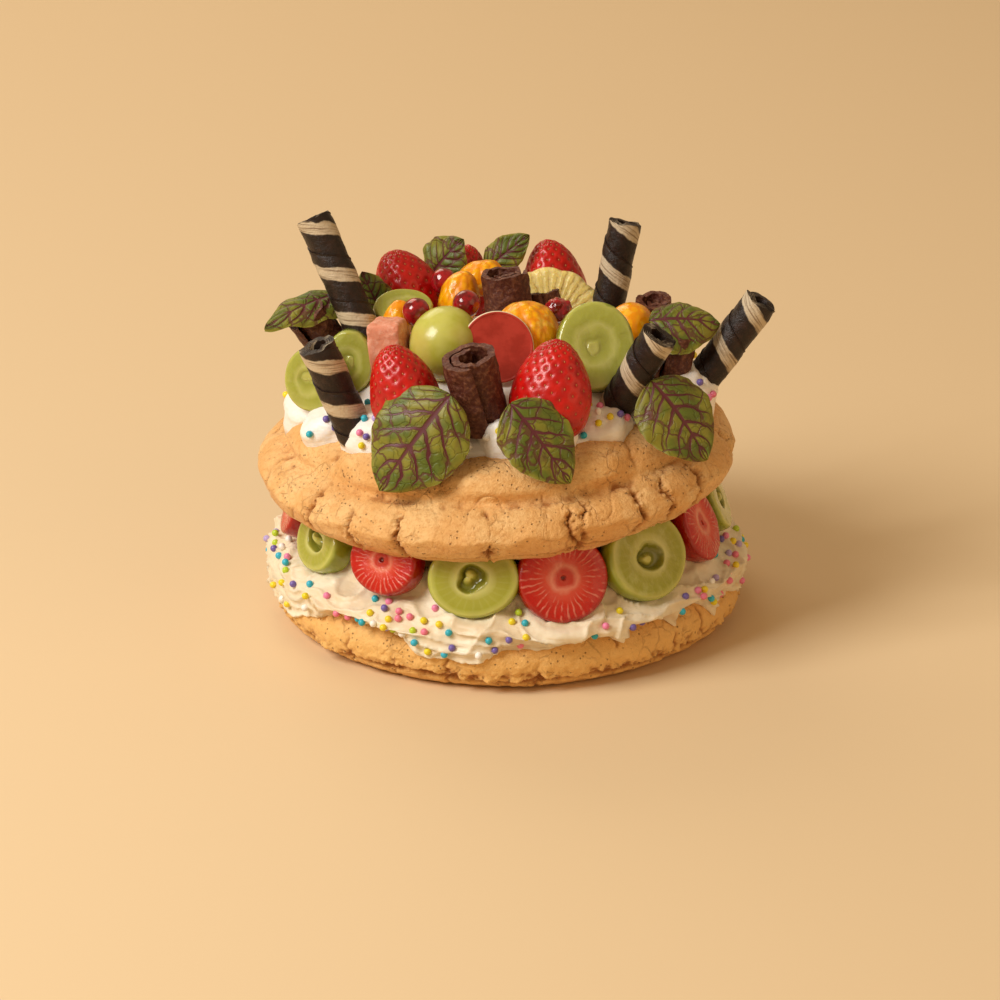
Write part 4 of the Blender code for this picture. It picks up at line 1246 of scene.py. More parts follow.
@dataclass
class CrustTier:
    """A baked tier: an outline turned round the tier's axis, with relief along its normals."""

    outline: tuple[tuple[float, float], ...]
    bottom: float
    centre_x: float
    leans: bool
    node: str
    piece: str
    rows: int = 96
    columns: int = 840
    crumb: float = 0.22

    def bearings(self) -> Array:
        """Bearing of each column."""
        return np.arange(self.columns) * 360.0 / self.columns

    def relief(self, bearings: Array, place: Array, points: Array, radius: Array) -> tuple[Array, Array]:
        """The tier's own relief.

        Args:
            bearings: Bearing of each column.
            place: Number of each row's span of the outline.
            points: The plain points.
            radius: Radius of each row, as a column.

        Returns:
            The relief in millimetres and how much painted shade each point gets, from 0 to 1.
        """
        raise NotImplementedError

    def build(self) -> Piece:
        """Builds the tier.

        Returns:
            The finished piece.
        """
        profile, place = smooth_curve(np.array(self.outline), self.rows)
        tangent = unit(np.gradient(profile, axis=0))
        normal = np.stack([tangent[:, 1], -tangent[:, 0]], axis=1)
        bearings = self.bearings()
        plain = bearing_point(bearings[None], profile[:, :1], self.bottom + profile[:, 1:], self.centre_x)
        push, painted_shade = self.relief(bearings, place, plain, profile[:, :1])
        radius = profile[:, :1] + normal[:, :1] * push
        height = np.maximum(profile[:, 1:] + normal[:, 1:] * push, 0.0)
        points = bearing_point(bearings[None], radius, self.bottom + height, self.centre_x)
        top = self.bottom + profile[-1, 1]
        poles = np.array([[self.centre_x, 0, self.bottom], [self.centre_x, 0, top]], float)
        if self.leans:
            points, poles = lean(points), lean(poles)
        skin = Skin()
        # The tint carries the painted shade
        skin.add_grid(points, poles=(poles[0], poles[1]), tint=painted_shade)
        return skin.build(self.piece, BakedChoux(), Slot.CRUST, self.node)


@dataclass
class BaseTier(CrustTier):
    """The lower tier: a rounded rim with an uneven groove low on its side and short cracks."""

    outline: tuple[tuple[float, float], ...] = (
        (74, 0), (81, 0.3), (86, 3.0), (89, 7), (90, 11), (89.2, 15), (86, 19), (80, 22), (64, 24),
    )
    bottom: float = 0.0
    centre_x: float = 0.0
    leans: bool = False
    node: str = "base_tier"
    piece: str = "crust_base"
    rows: int = 72

    def relief(self, bearings: Array, place: Array, points: Array, radius: Array) -> tuple[Array, Array]:
        """Waves, a ragged groove a third of the way up, short upright cracks and crumb.

        Args:
            bearings: Bearing of each column.
            place: Number of each row's span of the outline.
            points: The plain points.
            radius: Radius of each row, as a column.

        Returns:
            The relief in millimetres and how much painted shade each point gets, from 0 to 1.
        """
        turn = np.radians(bearings)[None]
        row = place[:, None]
        side = ease(0.8, 1.8, row) * (1 - ease(5.6, 6.8, row))
        wave = 0.5 * np.sin(5 * turn + 1) + 0.4 * np.sin(9 * turn + 2)
        level = points * (1, 1, 0)
        groove_row = 2.5 + 0.3 * RELIEF.at(level, 12) + 0.12 * RELIEF.at(level, 3)
        broken = ease(-0.75, -0.1, RELIEF.at(level + 70, 16))
        groove = np.exp(-(((row - groove_row) / 0.26) ** 2)) * broken
        rough = RELIEF.layered(points + 90, 3.2, 4, 0.65)
        torn_shaded = np.exp(-(((row - groove_row - 0.35) / 0.75) ** 2)) * broken
        noise_row = np.stack([row + 0 * turn] * 3, -1)[:, :1, :] * 6
        lines = np.array(CRACKS)[None] + 9 + 1.8 * RELIEF.at(noise_row, 5)
        cracks, _ = crack_lines(bearings, radius, lines, 0.8)
        cracks = cracks * ease(-0.3, 0.2, RELIEF.at(points, 10))
        hair = np.clip(1 - np.abs(RELIEF.at(points + 150, 10)) / 0.05, 0, 1)
        hair = hair * ease(-0.1, 0.3, RELIEF.at(points + 300, 9))
        crumb = 1.5 * self.crumb * RELIEF.layered(points, 4, 4, 0.65) + 0.6 * RELIEF.at(points, 12)
        push = 0.5 * wave - 0.1 - 1.7 * groove + 1.3 * torn_shaded * rough - 1.0 * cracks - 0.5 * hair + crumb
        # Painted shade, strongest in the groove and the cracks, with the hairlines and the torn pits
        painted_shade = np.maximum(0.9 * groove, 0.8 * cracks) + 0.4 * hair + torn_shaded * np.clip(0.25 - rough, 0, 1)
        return push * side, np.clip(painted_shade, 0, 1) * side


@dataclass
class UpperTier(CrustTier):
    """The upper tier: a cracked outer band with a ridge, a torn groove, and a ring of puffed lobes."""

    outline: tuple[tuple[float, float], ...] = (
        (64, 0), (75, 2.2), (83.5, 5.6), (88.6, 10.5), (90, 16), (89, 21.5), (85.5, 25.6), (80.5, 27.4),
        (79.6, 31.5), (77.2, 36.4), (71.5, 39.6), (60, 41.5),
    )
    bottom: float = UPPER_BOTTOM
    centre_x: float = UPPER_SHIFT_X
    leans: bool = True
    node: str = "upper_tier"
    piece: str = "crust_upper"
    rows: int = 108

    def relief(self, bearings: Array, place: Array, points: Array, radius: Array) -> tuple[Array, Array]:
        """Plates with cracks and a ridge on the band, rough tearing in the groove, smooth lobes above.

        Args:
            bearings: Bearing of each column.
            place: Number of each row's span of the outline.
            points: The plain points.
            radius: Radius of each row, as a column.

        Returns:
            The relief in millimetres and how much painted shade each point gets, from 0 to 1.
        """
        row = place[:, None]
        flat = points * (1, 1, 0)
        wander = 2.2 * RELIEF.at(points, 9) + 1.0 * RELIEF.at(points + 40, 3.5)
        lobes = lobe_height(bearings[None] + wander * ease(6.5, 8.0, row))
        share = np.interp(place, (0, 6.2, 7, 8, 9, 10, 11), (0, 0, -0.5, 0.7, 1.0, 0.8, 0.3))[:, None]
        valley = ease(0.6, -2.6, lobes) * ease(7.0, 8.0, row)
        band = ease(1.2, 2.0, row) * (1 - ease(5.9, 6.8, row))
        noise_row = np.stack([row + 0 * row] * 3, -1) * 7.0 + np.arange(len(CRACKS))[None, :, None] * 13.0
        lines = np.array(CRACKS)[None] + 1.8 * RELIEF.at(noise_row, 11) + 0.35 * RELIEF.at(noise_row, 3.5)
        broken = ease(-0.55, -0.15, RELIEF.at(points + 200, 11))
        cracks, plate = crack_lines(bearings, radius, lines, 0.55)
        wide, _ = crack_lines(bearings, radius, lines, 2.6)
        cracks, wide = cracks * broken, wide * broken
        rng = np.random.default_rng(21)
        stand = rng.uniform(-0.4, 0.5, len(CRACKS))[plate]
        ridge_row = 4.3 + rng.uniform(-0.4, 0.3, len(CRACKS))[plate] + 0.3 * RELIEF.at(flat, 9)
        ridge = np.clip(1 - np.abs(row - ridge_row) / 1.9, 0, 1)
        low_row = 2.4 + 0.4 * RELIEF.at(flat, 8) + 0.15 * RELIEF.at(flat, 2.5)
        low = np.exp(-(((row - low_row) / 0.11) ** 2)) * ease(-0.3, 0.1, RELIEF.at(flat + 30, 14))
        hair = np.clip(1 - np.abs(RELIEF.at(points + 150, 13)) / 0.045, 0, 1)
        hair = hair * ease(-0.1, 0.3, RELIEF.at(points + 300, 12)) * ease(1.8, 2.6, row)
        groove = np.exp(-(((row - 6.75 - 0.2 * RELIEF.at(flat, 5)) / 0.45) ** 2))
        groove = groove * ease(-0.7, 0.1, RELIEF.at(flat + 500, 17))
        torn_shaded = np.clip(groove + 0.8 * valley, 0, 1)
        rough = RELIEF.layered(points + 90, 4.2, 4, 0.62)
        crumb = self.crumb * RELIEF.layered(points, 5, 3, 0.55)
        push = share * lobes + crumb * ease(0.5, 1.5, row)
        tear = RELIEF.layered(points + 600, 2.6, 4, 0.65)
        crest = np.clip(1 - np.abs(row - ridge_row) / 0.55, 0, 1)
        push += band * (1.6 * ridge + 0.9 * crest - 1.0 + stand)
        push += band * (wide * (1.7 * tear - 0.9) - 2.3 * cracks - 1.5 * low)
        push += torn_shaded * (0.55 * rough - 0.3) + 0.7 * RELIEF.at(points, 15) * ease(0.8, 1.8, row) - 0.6 * hair
        # Painted shade in the cracks, the low line, the hairlines and the torn pits
        painted_shade = band * np.maximum(cracks, 0.9 * low) + 0.5 * hair + torn_shaded * np.clip(0.3 - 0.6 * rough, 0, 1)
        painted_shade = painted_shade + band * wide * np.clip(0.2 - tear, 0, 1)
        # Painted shade below the ridge, where the band faces down, away from the light
        painted_shade = painted_shade + 0.26 * band * ease(ridge_row + 0.2, ridge_row - 0.8, row)
        return push, np.clip(painted_shade, 0, 1)


# Cream

# Heights up the base tier's side with its radius there
BASE_SIDE = (
    (0.0, 80.0), (0.6, 81.0), (3.4, 86.0), (7.0, 89.0), (11.0, 90.0), (15.0, 89.2), (19.0, 86.0),
    (22.0, 80.0),
)
# Kind, bearing, distance from the axis, height, half width, half height and depth
RING_FRUITS = (
    (Cut.STRAWBERRY, -82, 84.0, 43.0, 10.0, 10.0, 9.0),
    (Cut.HOLLOW_GRAPE, -62, 82.0, 41.5, 15.0, 12.0, 9.0),
    (Cut.STRAWBERRY, -35, 81.5, 45.0, 15.0, 13.0, 9.0),
    (Cut.HOLLOW_GRAPE, -9, 81.5, 43.0, 17.6, 14.5, 9.0),
    (Cut.STRAWBERRY, 14.8, 81.5, 43.0, 17.4, 17.0, 9.0),
    (Cut.HOLLOW_GRAPE, 40.5, 81.5, 45.0, 18.6, 17.2, 9.0),
    (Cut.STRAWBERRY, 63.5, 82.5, 47.5, 12.0, 15.0, 9.0),
    (Cut.HOLLOW_GRAPE, 81, 82.5, 48.5, 11.0, 13.0, 9.0),
    (Cut.STRAWBERRY, 105, 81.5, 45.0, 15.0, 15.0, 9.0),
    (Cut.HOLLOW_GRAPE, 131, 81.5, 43.5, 16.5, 14.5, 9.0),
    (Cut.STRAWBERRY, 157, 81.5, 42.0, 16.0, 15.0, 9.0),
    (Cut.HOLLOW_GRAPE, 183, 81.5, 41.0, 17.0, 14.0, 9.0),
    (Cut.STRAWBERRY, 209, 81.5, 40.0, 15.0, 14.0, 9.0),
    (Cut.HOLLOW_GRAPE, 234, 81.5, 39.5, 15.5, 13.0, 9.0),
    (Cut.STRAWBERRY, 259, 82.0, 40.0, 13.0, 12.5, 9.0),
)
# Where a bearing on the cream's face is turned into millimetres
FACE_RADIUS = 85.0
PEARL_RADIUS = 1.42
PEARL_SPACING = 3.1
# How far a pearl's middle stands out of the cream, as a share of its radius
PEARL_RISE = 0.45


def pearl_axes(normals: Array) -> Array:
    """Axes for pearls that lie on a surface.

    Args:
        normals: The surface's direction at each pearl.

    Returns:
        Three axes for each pearl.
    """
    side = unit(np.cross(normals, (0.31, 0.17, 0.93)))
    return np.stack([side, np.cross(normals, side), normals], axis=1)


def spread_out(points: Array, order: Array, spacing: float, count: int) -> list[int]:
    """Picks points in a given order that keep a distance from those already picked.

    Args:
        points: The points.
        order: Numbers in the order of trial.
        spacing: Least distance in millimetres.
        count: How many to pick at most.

    Returns:
        Numbers of the picked points.
    """
    picked: list[int] = []
    for number in order:
        if len(picked) == count:
            break
        if not picked or np.linalg.norm(points[picked] - points[number], axis=1).min() > spacing:
            picked.append(int(number))
    return picked


def lay_pearls(
    name: str, points: Array, normals: Array, favour: Array, count: int, seed: int, node: str,
) -> Piece:
    """Strews sugar pearls over open places on cream, more of them where they are favoured.

    Args:
        name: Name of the piece.
        points: Places where a pearl may lie.
        normals: Direction of the cream at each.
        favour: How likely each place is to be tried early, above 0.
        count: How many pearls there are at most.
        seed: Seed of the draw.
        node: Node that the pearls are part of.

    Returns:
        The finished piece.
    """
    rng = np.random.default_rng(seed)
    order = np.argsort(-rng.random(len(points)) ** (1 / favour))
    picked = spread_out(points, order, PEARL_SPACING, count)
    centres = points[picked] + normals[picked] * PEARL_RADIUS * PEARL_RISE
    colours = (rng.integers(0, len(SugarPearl().colours), len(picked)) + 0.5) / len(SugarPearl().colours)
    skin = Skin()
    skin.add_balls(centres, pearl_axes(normals[picked]), (PEARL_RADIUS,) * 3, colours)
    return skin.build(name, SugarPearl(), Slot.PINK, node)


@dataclass
class Filling:
    """The buttercream between the tiers: a swept face over a ragged lower edge with runs and points.

    The edge is given as bearings with heights, and the rings above it as radii with heights.
    """

    columns: int = 1000
    rows: int = 64
    edge_points: tuple[tuple[float, float], ...] = (
        (-90, 10.0), (-75, 10.4), (-62, 11.6), (-55, 15.5), (-48, 19.0), (-40, 20.0), (-27, 19.5),
        (-22, 14.0), (-14, 14.6), (-7, 13.6), (-2, 17.0), (3, 18.5), (12, 18.6), (19.5, 19.6), (25.5, 18.6),
        (29, 15.5),
        (32, 20.0), (35.5, 21.6), (42, 21.4), (45, 16.6), (48, 21.4), (52, 22.6), (57, 18.5), (60, 12.0),
        (63, 18.0), (70, 16.5), (75, 15.0), (78, 11.5), (82, 15.5), (92, 13.0), (99, 18.0), (104, 12.0),
        (113, 16.5), (127, 18.5), (134, 11.0), (140, 17.5), (156, 14.0), (170, 19.0), (178, 12.5),
        (188, 17.5), (204, 16.0), (211, 10.5), (219, 17.0), (236, 19.5), (246, 12.5), (258, 16.0),
    )
    upper_rings: tuple[tuple[float, float], ...] = (
        (91.8, 23.2), (90.2, 25.6), (86.4, 28.0), (79, 31.5), (70, 39.5),
    )
    pearls: int = 130

    def edge(self, bearings: Array) -> Array:
        """Height of the lower edge: a rounded curve through its high places and runs, finely ragged.

        Args:
            bearings: Bearings in degrees.

        Returns:
            Heights.
        """
        places, heights = np.array(self.edge_points).T
        places = np.concatenate([places - 360, places, places + 360])
        heights = np.tile(heights, 3)
        fine = np.linspace(-180, 420, 2400)
        line = np.interp(fine, places, heights)
        line = np.convolve(line, np.ones(5) / 5, mode="same")
        height = np.interp((bearings + 90) % 360 - 90, fine, line)
        rim = bearing_point(bearings, 90.0, 0.0)
        return height + 0.8 * RELIEF.layered(rim, 6, 4, 0.55)

    def face(self) -> tuple[Array, Array]:
        """The cream's surface: control rings joined by rounded curves, with sweeps and collars.

        Returns:
            The points and the number of each row's span.
        """
        bearings = np.arange(self.columns) * 360.0 / self.columns
        edge = self.edge(bearings)
        heights, radii = np.array(BASE_SIDE).T
        side = np.interp(edge, heights, radii)
        turn = np.radians(bearings)
        rings = [(np.interp(edge + 4, heights, radii) - 2.0, edge + 4), (side - 0.4, edge + 0.2)]
        rings += [(side + 1.0, edge - 0.2), (side + 1.9, edge + 1.0)]
        rings.append((0.5 * (side + 2.2) + 46.0, 0.5 * edge + 11.8))
        for index, (radius, height) in enumerate(self.upper_rings):
            swell = 0.8 * np.sin(6 * turn + index) + 0.5 * np.sin(11 * turn + 2 * index)
            swell *= 0.2 if index > 2 else 1.0
            rings.append((radius + swell, np.full(len(turn), height)))
        rings.append((np.full(len(turn), 60.0), np.full(len(turn), 44.0)))
        control = np.stack([bearing_point(bearings, radius, height) for radius, height in rings])
        share = np.array([0.33, 0.67, 1])[:, None]
        control[8:, :, 2] += UPPER_LEAN * (control[8:, :, 0] - UPPER_SHIFT_X) * share
        points, place = smooth_curve(control, self.rows)
        outward = grid_normals(points)
        open_face = (ease(1.6, 3.2, place) * (1 - ease(8.8, 9.6, place)))[:, None]
        warp = RELIEF.at(points * (1, 1, 1.6), 20) * 9 + RELIEF.at(points + 60, 8) * 2.4
        sweep = 1 - np.abs(np.sin(points[..., 2] * 0.62 + 0.5 * warp + 0.02 * points[..., 0]))
        cross = 1 - np.abs(np.sin(points[..., 2] * 0.3 + 4 * RELIEF.at(points + 400, 16)))
        push = 1.5 * sweep ** 2.2 + 1.3 * cross ** 5 - 0.9 + 0.9 * RELIEF.at(points, 10)
        push = push + 0.3 * RELIEF.layered(points, 3.5, 3)
        for _, bearing, _, height, wide, high, _ in RING_FRUITS:
            gap = off_bearing(bearings, bearing)[None] * np.pi / 180 * FACE_RADIUS
            away = np.hypot(gap / wide, (points[..., 2] - height) / high)
            push += 1.3 * np.exp(-(((away - 1.1) / 0.11) ** 2))
            push -= 2.5 * np.exp(-((away / 0.85) ** 4))
        return points + outward * (push * open_face)[..., None], place

    def build(self) -> list[Piece]:
        """Builds the cream and its pearls.

        Returns:
            The finished pieces.
        """
        points, place = self.face()
        skin = Skin()
        skin.add_grid(points, poles=(np.array([0.0, 0.0, 20.0]), np.array([0.0, 0.0, 44.0])))
        finish = WhippedCream(name="buttercream filling", white="#efe2c8", shade="#e6d3b2", roughness=0.4)
        cream = skin.build("cream_filling", finish, Slot.FILLING, "filling_cream")
        normals = grid_normals(points)
        free = np.broadcast_to(((place > 3.4) & (place < 8.2))[:, None], points.shape[:2]).copy()
        turned = np.degrees(np.arctan2(points[..., 0], -points[..., 1]))
        for _, bearing, _, height, wide, high, _ in RING_FRUITS:
            gap = off_bearing(turned, bearing) * np.pi / 180 * FACE_RADIUS
            free &= np.hypot(gap / wide, (points[..., 2] - height) / high) > 1.25
        favour = 0.35 + np.exp(-(((turned + 16) / 24) ** 2)) + np.exp(-(((turned - 84) / 9) ** 2))
        pearls = lay_pearls(
            "pearls_filling", points[free], normals[free], favour[free], self.pearls, seed=5,
            node="filling_cream")
        return [cream, pearls]


@dataclass
class TopCream:
    """The cream on top: a mound under the fruit, and a ring of plump spooned dollops.

    Each dollop has its bearing, its distance from the axis, its half depth, half width and rise.
    """

    dollops: tuple[tuple[float, float, float, float, float], ...] = (
        (-84, 70, 12.0, 14.0, 11.5), (-65, 68, 11.5, 12.0, 9.5), (-45, 64, 10.5, 16.0, 11.5),
        (-20, 62, 9.0, 12.0, 11.0), (2, 61, 9.5, 9.5, 12.0), (20, 61, 9.0, 9.0, 9.0),
        (40, 61, 9.5, 12.5, 8.0), (61, 64, 10.0, 11.0, 11.0), (83, 72, 11.5, 12.5, 12.0),
        (106, 66, 11.0, 12.0, 13.0), (130, 66, 10.0, 13.0, 12.0), (155, 64, 10.5, 11.0, 13.0),
        (179, 65, 10.0, 14.0, 12.5), (204, 64, 10.5, 11.5, 13.0), (228, 66, 10.0, 13.0, 12.0),
        (252, 67, 11.0, 12.0, 13.0),
    )
    shoulder: float = 77.5
    pearls: int = 190

    def crust_level(self, bearings: Array, radius: Array) -> Array:
        """Height of the crust under the cream, without its lean.

        Args:
            bearings: Bearings in degrees.
            radius: Distances from the tier's axis.

        Returns:
            Heights.
        """
        radius = np.minimum(radius, self.shoulder)
        steps = (60, 71.5, 77.2, 79.6)
        plain = np.interp(radius, steps, (41.5, 39.6, 36.4, 31.5))
        share = np.interp(radius, steps, (0.3, 0.8, 1.0, 0.7))
        return UPPER_BOTTOM + plain + 0.6 * share * lobe_height(bearings)

    def mound(self) -> Array:
        """The mound: 110 less 20 times the square of the distance over 64, with spatula waves and a skirt.

        Returns:
            Points by rows from the rim to the middle.
        """
        bearings = np.arange(360.0)
        radius = np.concatenate([[64.0, 67.0, 67.5], np.linspace(66, 3, 56)])[:, None]
        height = 110 - 20 * (radius / 64) ** 2
        height[:3, 0] = (80, 84, 88)
        points = bearing_point(bearings[None], radius, height, UPPER_SHIFT_X)
        inner = ease(67, 60, radius)
        points[..., 2] += inner * (0.9 * RELIEF.at(points, 12) + 0.3 * RELIEF.layered(points, 5, 2))
        return lean(points)

    def dollop(self, number: int) -> Array:
        """One dollop: a dome, rise times one less a power of the distance, itself to a power, with folds.

        Args:
            number: Which dollop.

        Returns:
            Points by rows from the hidden foot to the top.
        """
        bearing, distance, deep, wide, rise = self.dollops[number]
        turn = np.arange(88) * TURN / 88
        up = np.linspace(np.pi / 2, 0.06, 40)
        away = np.sin(up) ** 0.8
        away = np.concatenate([[0.93, 0.98], away])[:, None]
        dome = 0.94 * rise * np.clip(1 - away ** 2.7, 0, 1) ** 0.62
        dome[:2, 0] = (-8.0, -4.0)
        plump = 1 + 0.05 * np.sin(np.pi * np.clip(dome / rise, 0, 1))
        depth, breadth = deep * away * plump * np.cos(turn), wide * away * plump * np.sin(turn)
        radius = np.hypot(distance + depth, breadth)
        angle = bearing + np.degrees(np.arctan2(breadth, distance + depth))
        level = self.crust_level(np.full_like(turn, bearing), np.full_like(turn, distance))
        level = 0.5 * level + 0.5 * self.crust_level(angle, radius)
        points = bearing_point(angle, radius, level + dome, UPPER_SHIFT_X)
        outward = grid_normals(points)
        swirl = np.sin(2 * turn[None] + 5.5 * away + number * 1.7 + 1.2 * RELIEF.at(points, 9))
        folds = 0.9 * np.maximum(swirl, -0.4) * ease(0.1, 0.5, away) * ease(-3, 1.5, dome)
        push = folds + 0.9 * RELIEF.at(points + 11 * number, 7) + 0.3 * RELIEF.layered(points, 3, 3)
        return lean(points + outward * (push * ease(-6, 1, dome))[..., None])

    def build(self) -> list[Piece]:
        """Builds the cream and its pearls.

        Returns:
            The finished pieces.
        """
        skin = Skin()
        mound = self.mound()
        middle = np.array([UPPER_SHIFT_X, 0.0, 0.0])
        skin.add_grid(mound, poles=(lean(middle + (0, 0, 80.0)), lean(middle + (0, 0, 110.0))))
        places, normals = [mound[8:].reshape(-1, 3)], [grid_normals(mound)[8:].reshape(-1, 3)]
        for number in range(len(self.dollops)):
            points = self.dollop(number)
            foot, peak = row_means(points)
            skin.add_grid(points, poles=(foot, peak + (0, 0, 0.05)))
            places.append(points[10:].reshape(-1, 3))
            normals.append(grid_normals(points)[10:].reshape(-1, 3))
        cream = skin.build("cream_top", WhippedCream(), Slot.CREAM, "top_cream")
        place, normal = np.concatenate(places), np.concatenate(normals)
        away = np.hypot(place[:, 0] - UPPER_SHIFT_X, place[:, 1])
        free = (away > 45) & (normal[:, 2] > -0.1)
        favour = np.full(len(place), 0.12)
        for bottom, top, radius, *_ in ROLLS + CURLS:
            beside = np.linalg.norm(np.cross(place - bottom, unit(np.subtract(top, bottom))), axis=1) - radius
            free &= beside > PEARL_RADIUS * 0.7
            favour += np.exp(-((beside / 6) ** 2))
        pearls = lay_pearls(
            "pearls_top", place[free], normal[free], favour[free], self.pearls, seed=8, node="top_cream")
        return [cream, pearls]


# Rolls and curls


@dataclass
class RolledSheet:
    """A sheet rolled into a spiral: radius shrinks along the winding, and the seam climbs as it goes up."""

    number: int
    bottom: Point
    top: Point
    radius: float
    wall: float
    turns: float
    lap: float
    gap: float
    climb: float
    ragged: float
    rough: float
    prefix: str
    node: str
    finish: Finish
    slot: Slot
    taper: float = 0.0
    stripes: float = 0.0
    rows: int = 60
    fineness: int = 64

    def build(self) -> Piece:
        """Builds the roll: an outer and an inner face of the winding, carried up the axis.

        Returns:
            The finished piece.
        """
        bottom, top = np.array(self.bottom), np.array(self.top)
        first, second, third = axes_from(tuple(top - bottom), (0, -1, 0))
        length = np.linalg.norm(top - bottom)
        count = int(self.fineness * self.turns)
        wound = np.linspace(0, 1, count)
        thinned = self.taper * np.exp(-wound * self.turns / 0.12)
        outer = self.radius - wound * self.turns * (self.wall + self.gap) - thinned
        edge = self.wall * 0.5 * (1 - np.sqrt(np.clip(1 - (2 * wound - 1) ** 16, 0, 1)))
        ring_radius = np.concatenate([outer - edge, (outer - self.wall + thinned + edge)[::-1]])
        ring_wound = np.concatenate([wound, wound[::-1]])
        up = np.linspace(0, 1, self.rows)[:, None]
        angle = np.radians(self.lap) - ring_wound[None] * self.turns * TURN - self.climb * up * TURN
        sample = np.stack([np.cos(angle) * 9, np.sin(angle) * 9, up * length + 0 * angle], -1)
        sample = sample + self.number * 31
        frayed = self.ragged * RELIEF.layered(sample * (1, 1, 0), 4, 3) * ease(0.86, 1.0, up)
        radius = ring_radius[None] + self.rough * RELIEF.layered(sample, 3, 3, 0.6)
        direction = turned_way(first, second, angle)
        points = bottom + third * (up * length + frayed)[..., None] + direction * radius[..., None]
        skin = Skin()
        lines = up[:, 0] * self.stripes
        skin.add_grid(points, u=np.append(ring_wound, ring_wound[0]) * self.turns, v=lines, flip=True)
        half = np.arange(count - 1)
        total = 2 * count
        for row, turned in ((0, False), (self.rows - 1, True)):
            start = row * total
            last = start + total - 1
            quads = np.stack([start + half, start + half + 1, last - 1 - half, last - half], -1)
            if turned:
                quads = quads[:, ::-1]
            skin.add_faces(quads, np.full((len(quads), 4, 2), 0.25))
        return skin.build(f"{self.prefix}_{self.number}", self.finish, self.slot, self.node, crease=50)


# Bottom, top, radius and the angle at which the winding starts
ROLLS = (
    ((-46.0, -8.0, 93.0), (-73.3, 10.0, 153.0), 7.2, 27),
    ((-55.8, -44.0, 85.0), (-70.3, -45.0, 121.9), 7.4, 150),
    ((37.0, 30.0, 99.0), (45.2, 35.0, 142.4), 6.8, 340),
    ((38.0, -38.0, 90.0), (56.0, -45.0, 126.0), 7.2, 277),
    ((70.5, -5.0, 88.0), (95.6, -5.0, 124.8), 7.2, 280),
)
# Bottom, top, radius, wall, turns and the angle at which the winding starts
CURLS = (
    ((-8.0, -53.5, 94.4), (-13.4, -57.5, 122.4), 11.6, 2.7, 1.5, 100),
    ((-62.5, 6.0, 97.0), (-75.7, 0.0, 118.0), 8.8, 2.0, 1.3, 60),
    ((1.5, 10.0, 104.0), (-1.6, 10.0, 131.0), 9.8, 2.1, 1.4, 200),
    ((17.0, 14.0, 102.0), (13.5, 20.0, 119.0), 8.8, 2.4, 1.3, 100),
    ((56.0, 20.0, 96.0), (56.6, 18.0, 117.0), 8.9, 2.4, 1.3, 150),
    ((62.5, -9.0, 92.0), (65.8, -12.0, 114.5), 7.6, 2.2, 1.3, 20),
)


def rolled_pieces() -> list[RolledSheet]:
    """The wafer rolls and chocolate curls.

    Returns:
        One rolled sheet for each.
    """
    made = []
    for number, (bottom, top, radius, lap) in enumerate(ROLLS, 1):
        length = math.dist(bottom, top)
        made.append(RolledSheet(
            number, bottom, top, radius, wall=0.72, turns=4.4, lap=lap, gap=0.14, climb=length / 19,
            ragged=0.6, rough=0.16, prefix="roll", node=f"wafer_roll_{number}", finish=CocoaWafer(),
            slot=Slot.WAFER, taper=0.6, stripes=length / 10, rows=112, fineness=40))
    for number, (bottom, top, radius, wall, turns, lap) in enumerate(CURLS, 1):
        made.append(RolledSheet(
            number, bottom, top, radius, wall, turns, lap, gap=0.8, climb=0.03, ragged=0.7, rough=0.4,
            prefix="curl", node=f"chocolate_curl_{number}", finish=ChocolateCurl(), slot=Slot.CHOCOLATE))
    return made


# Fruit


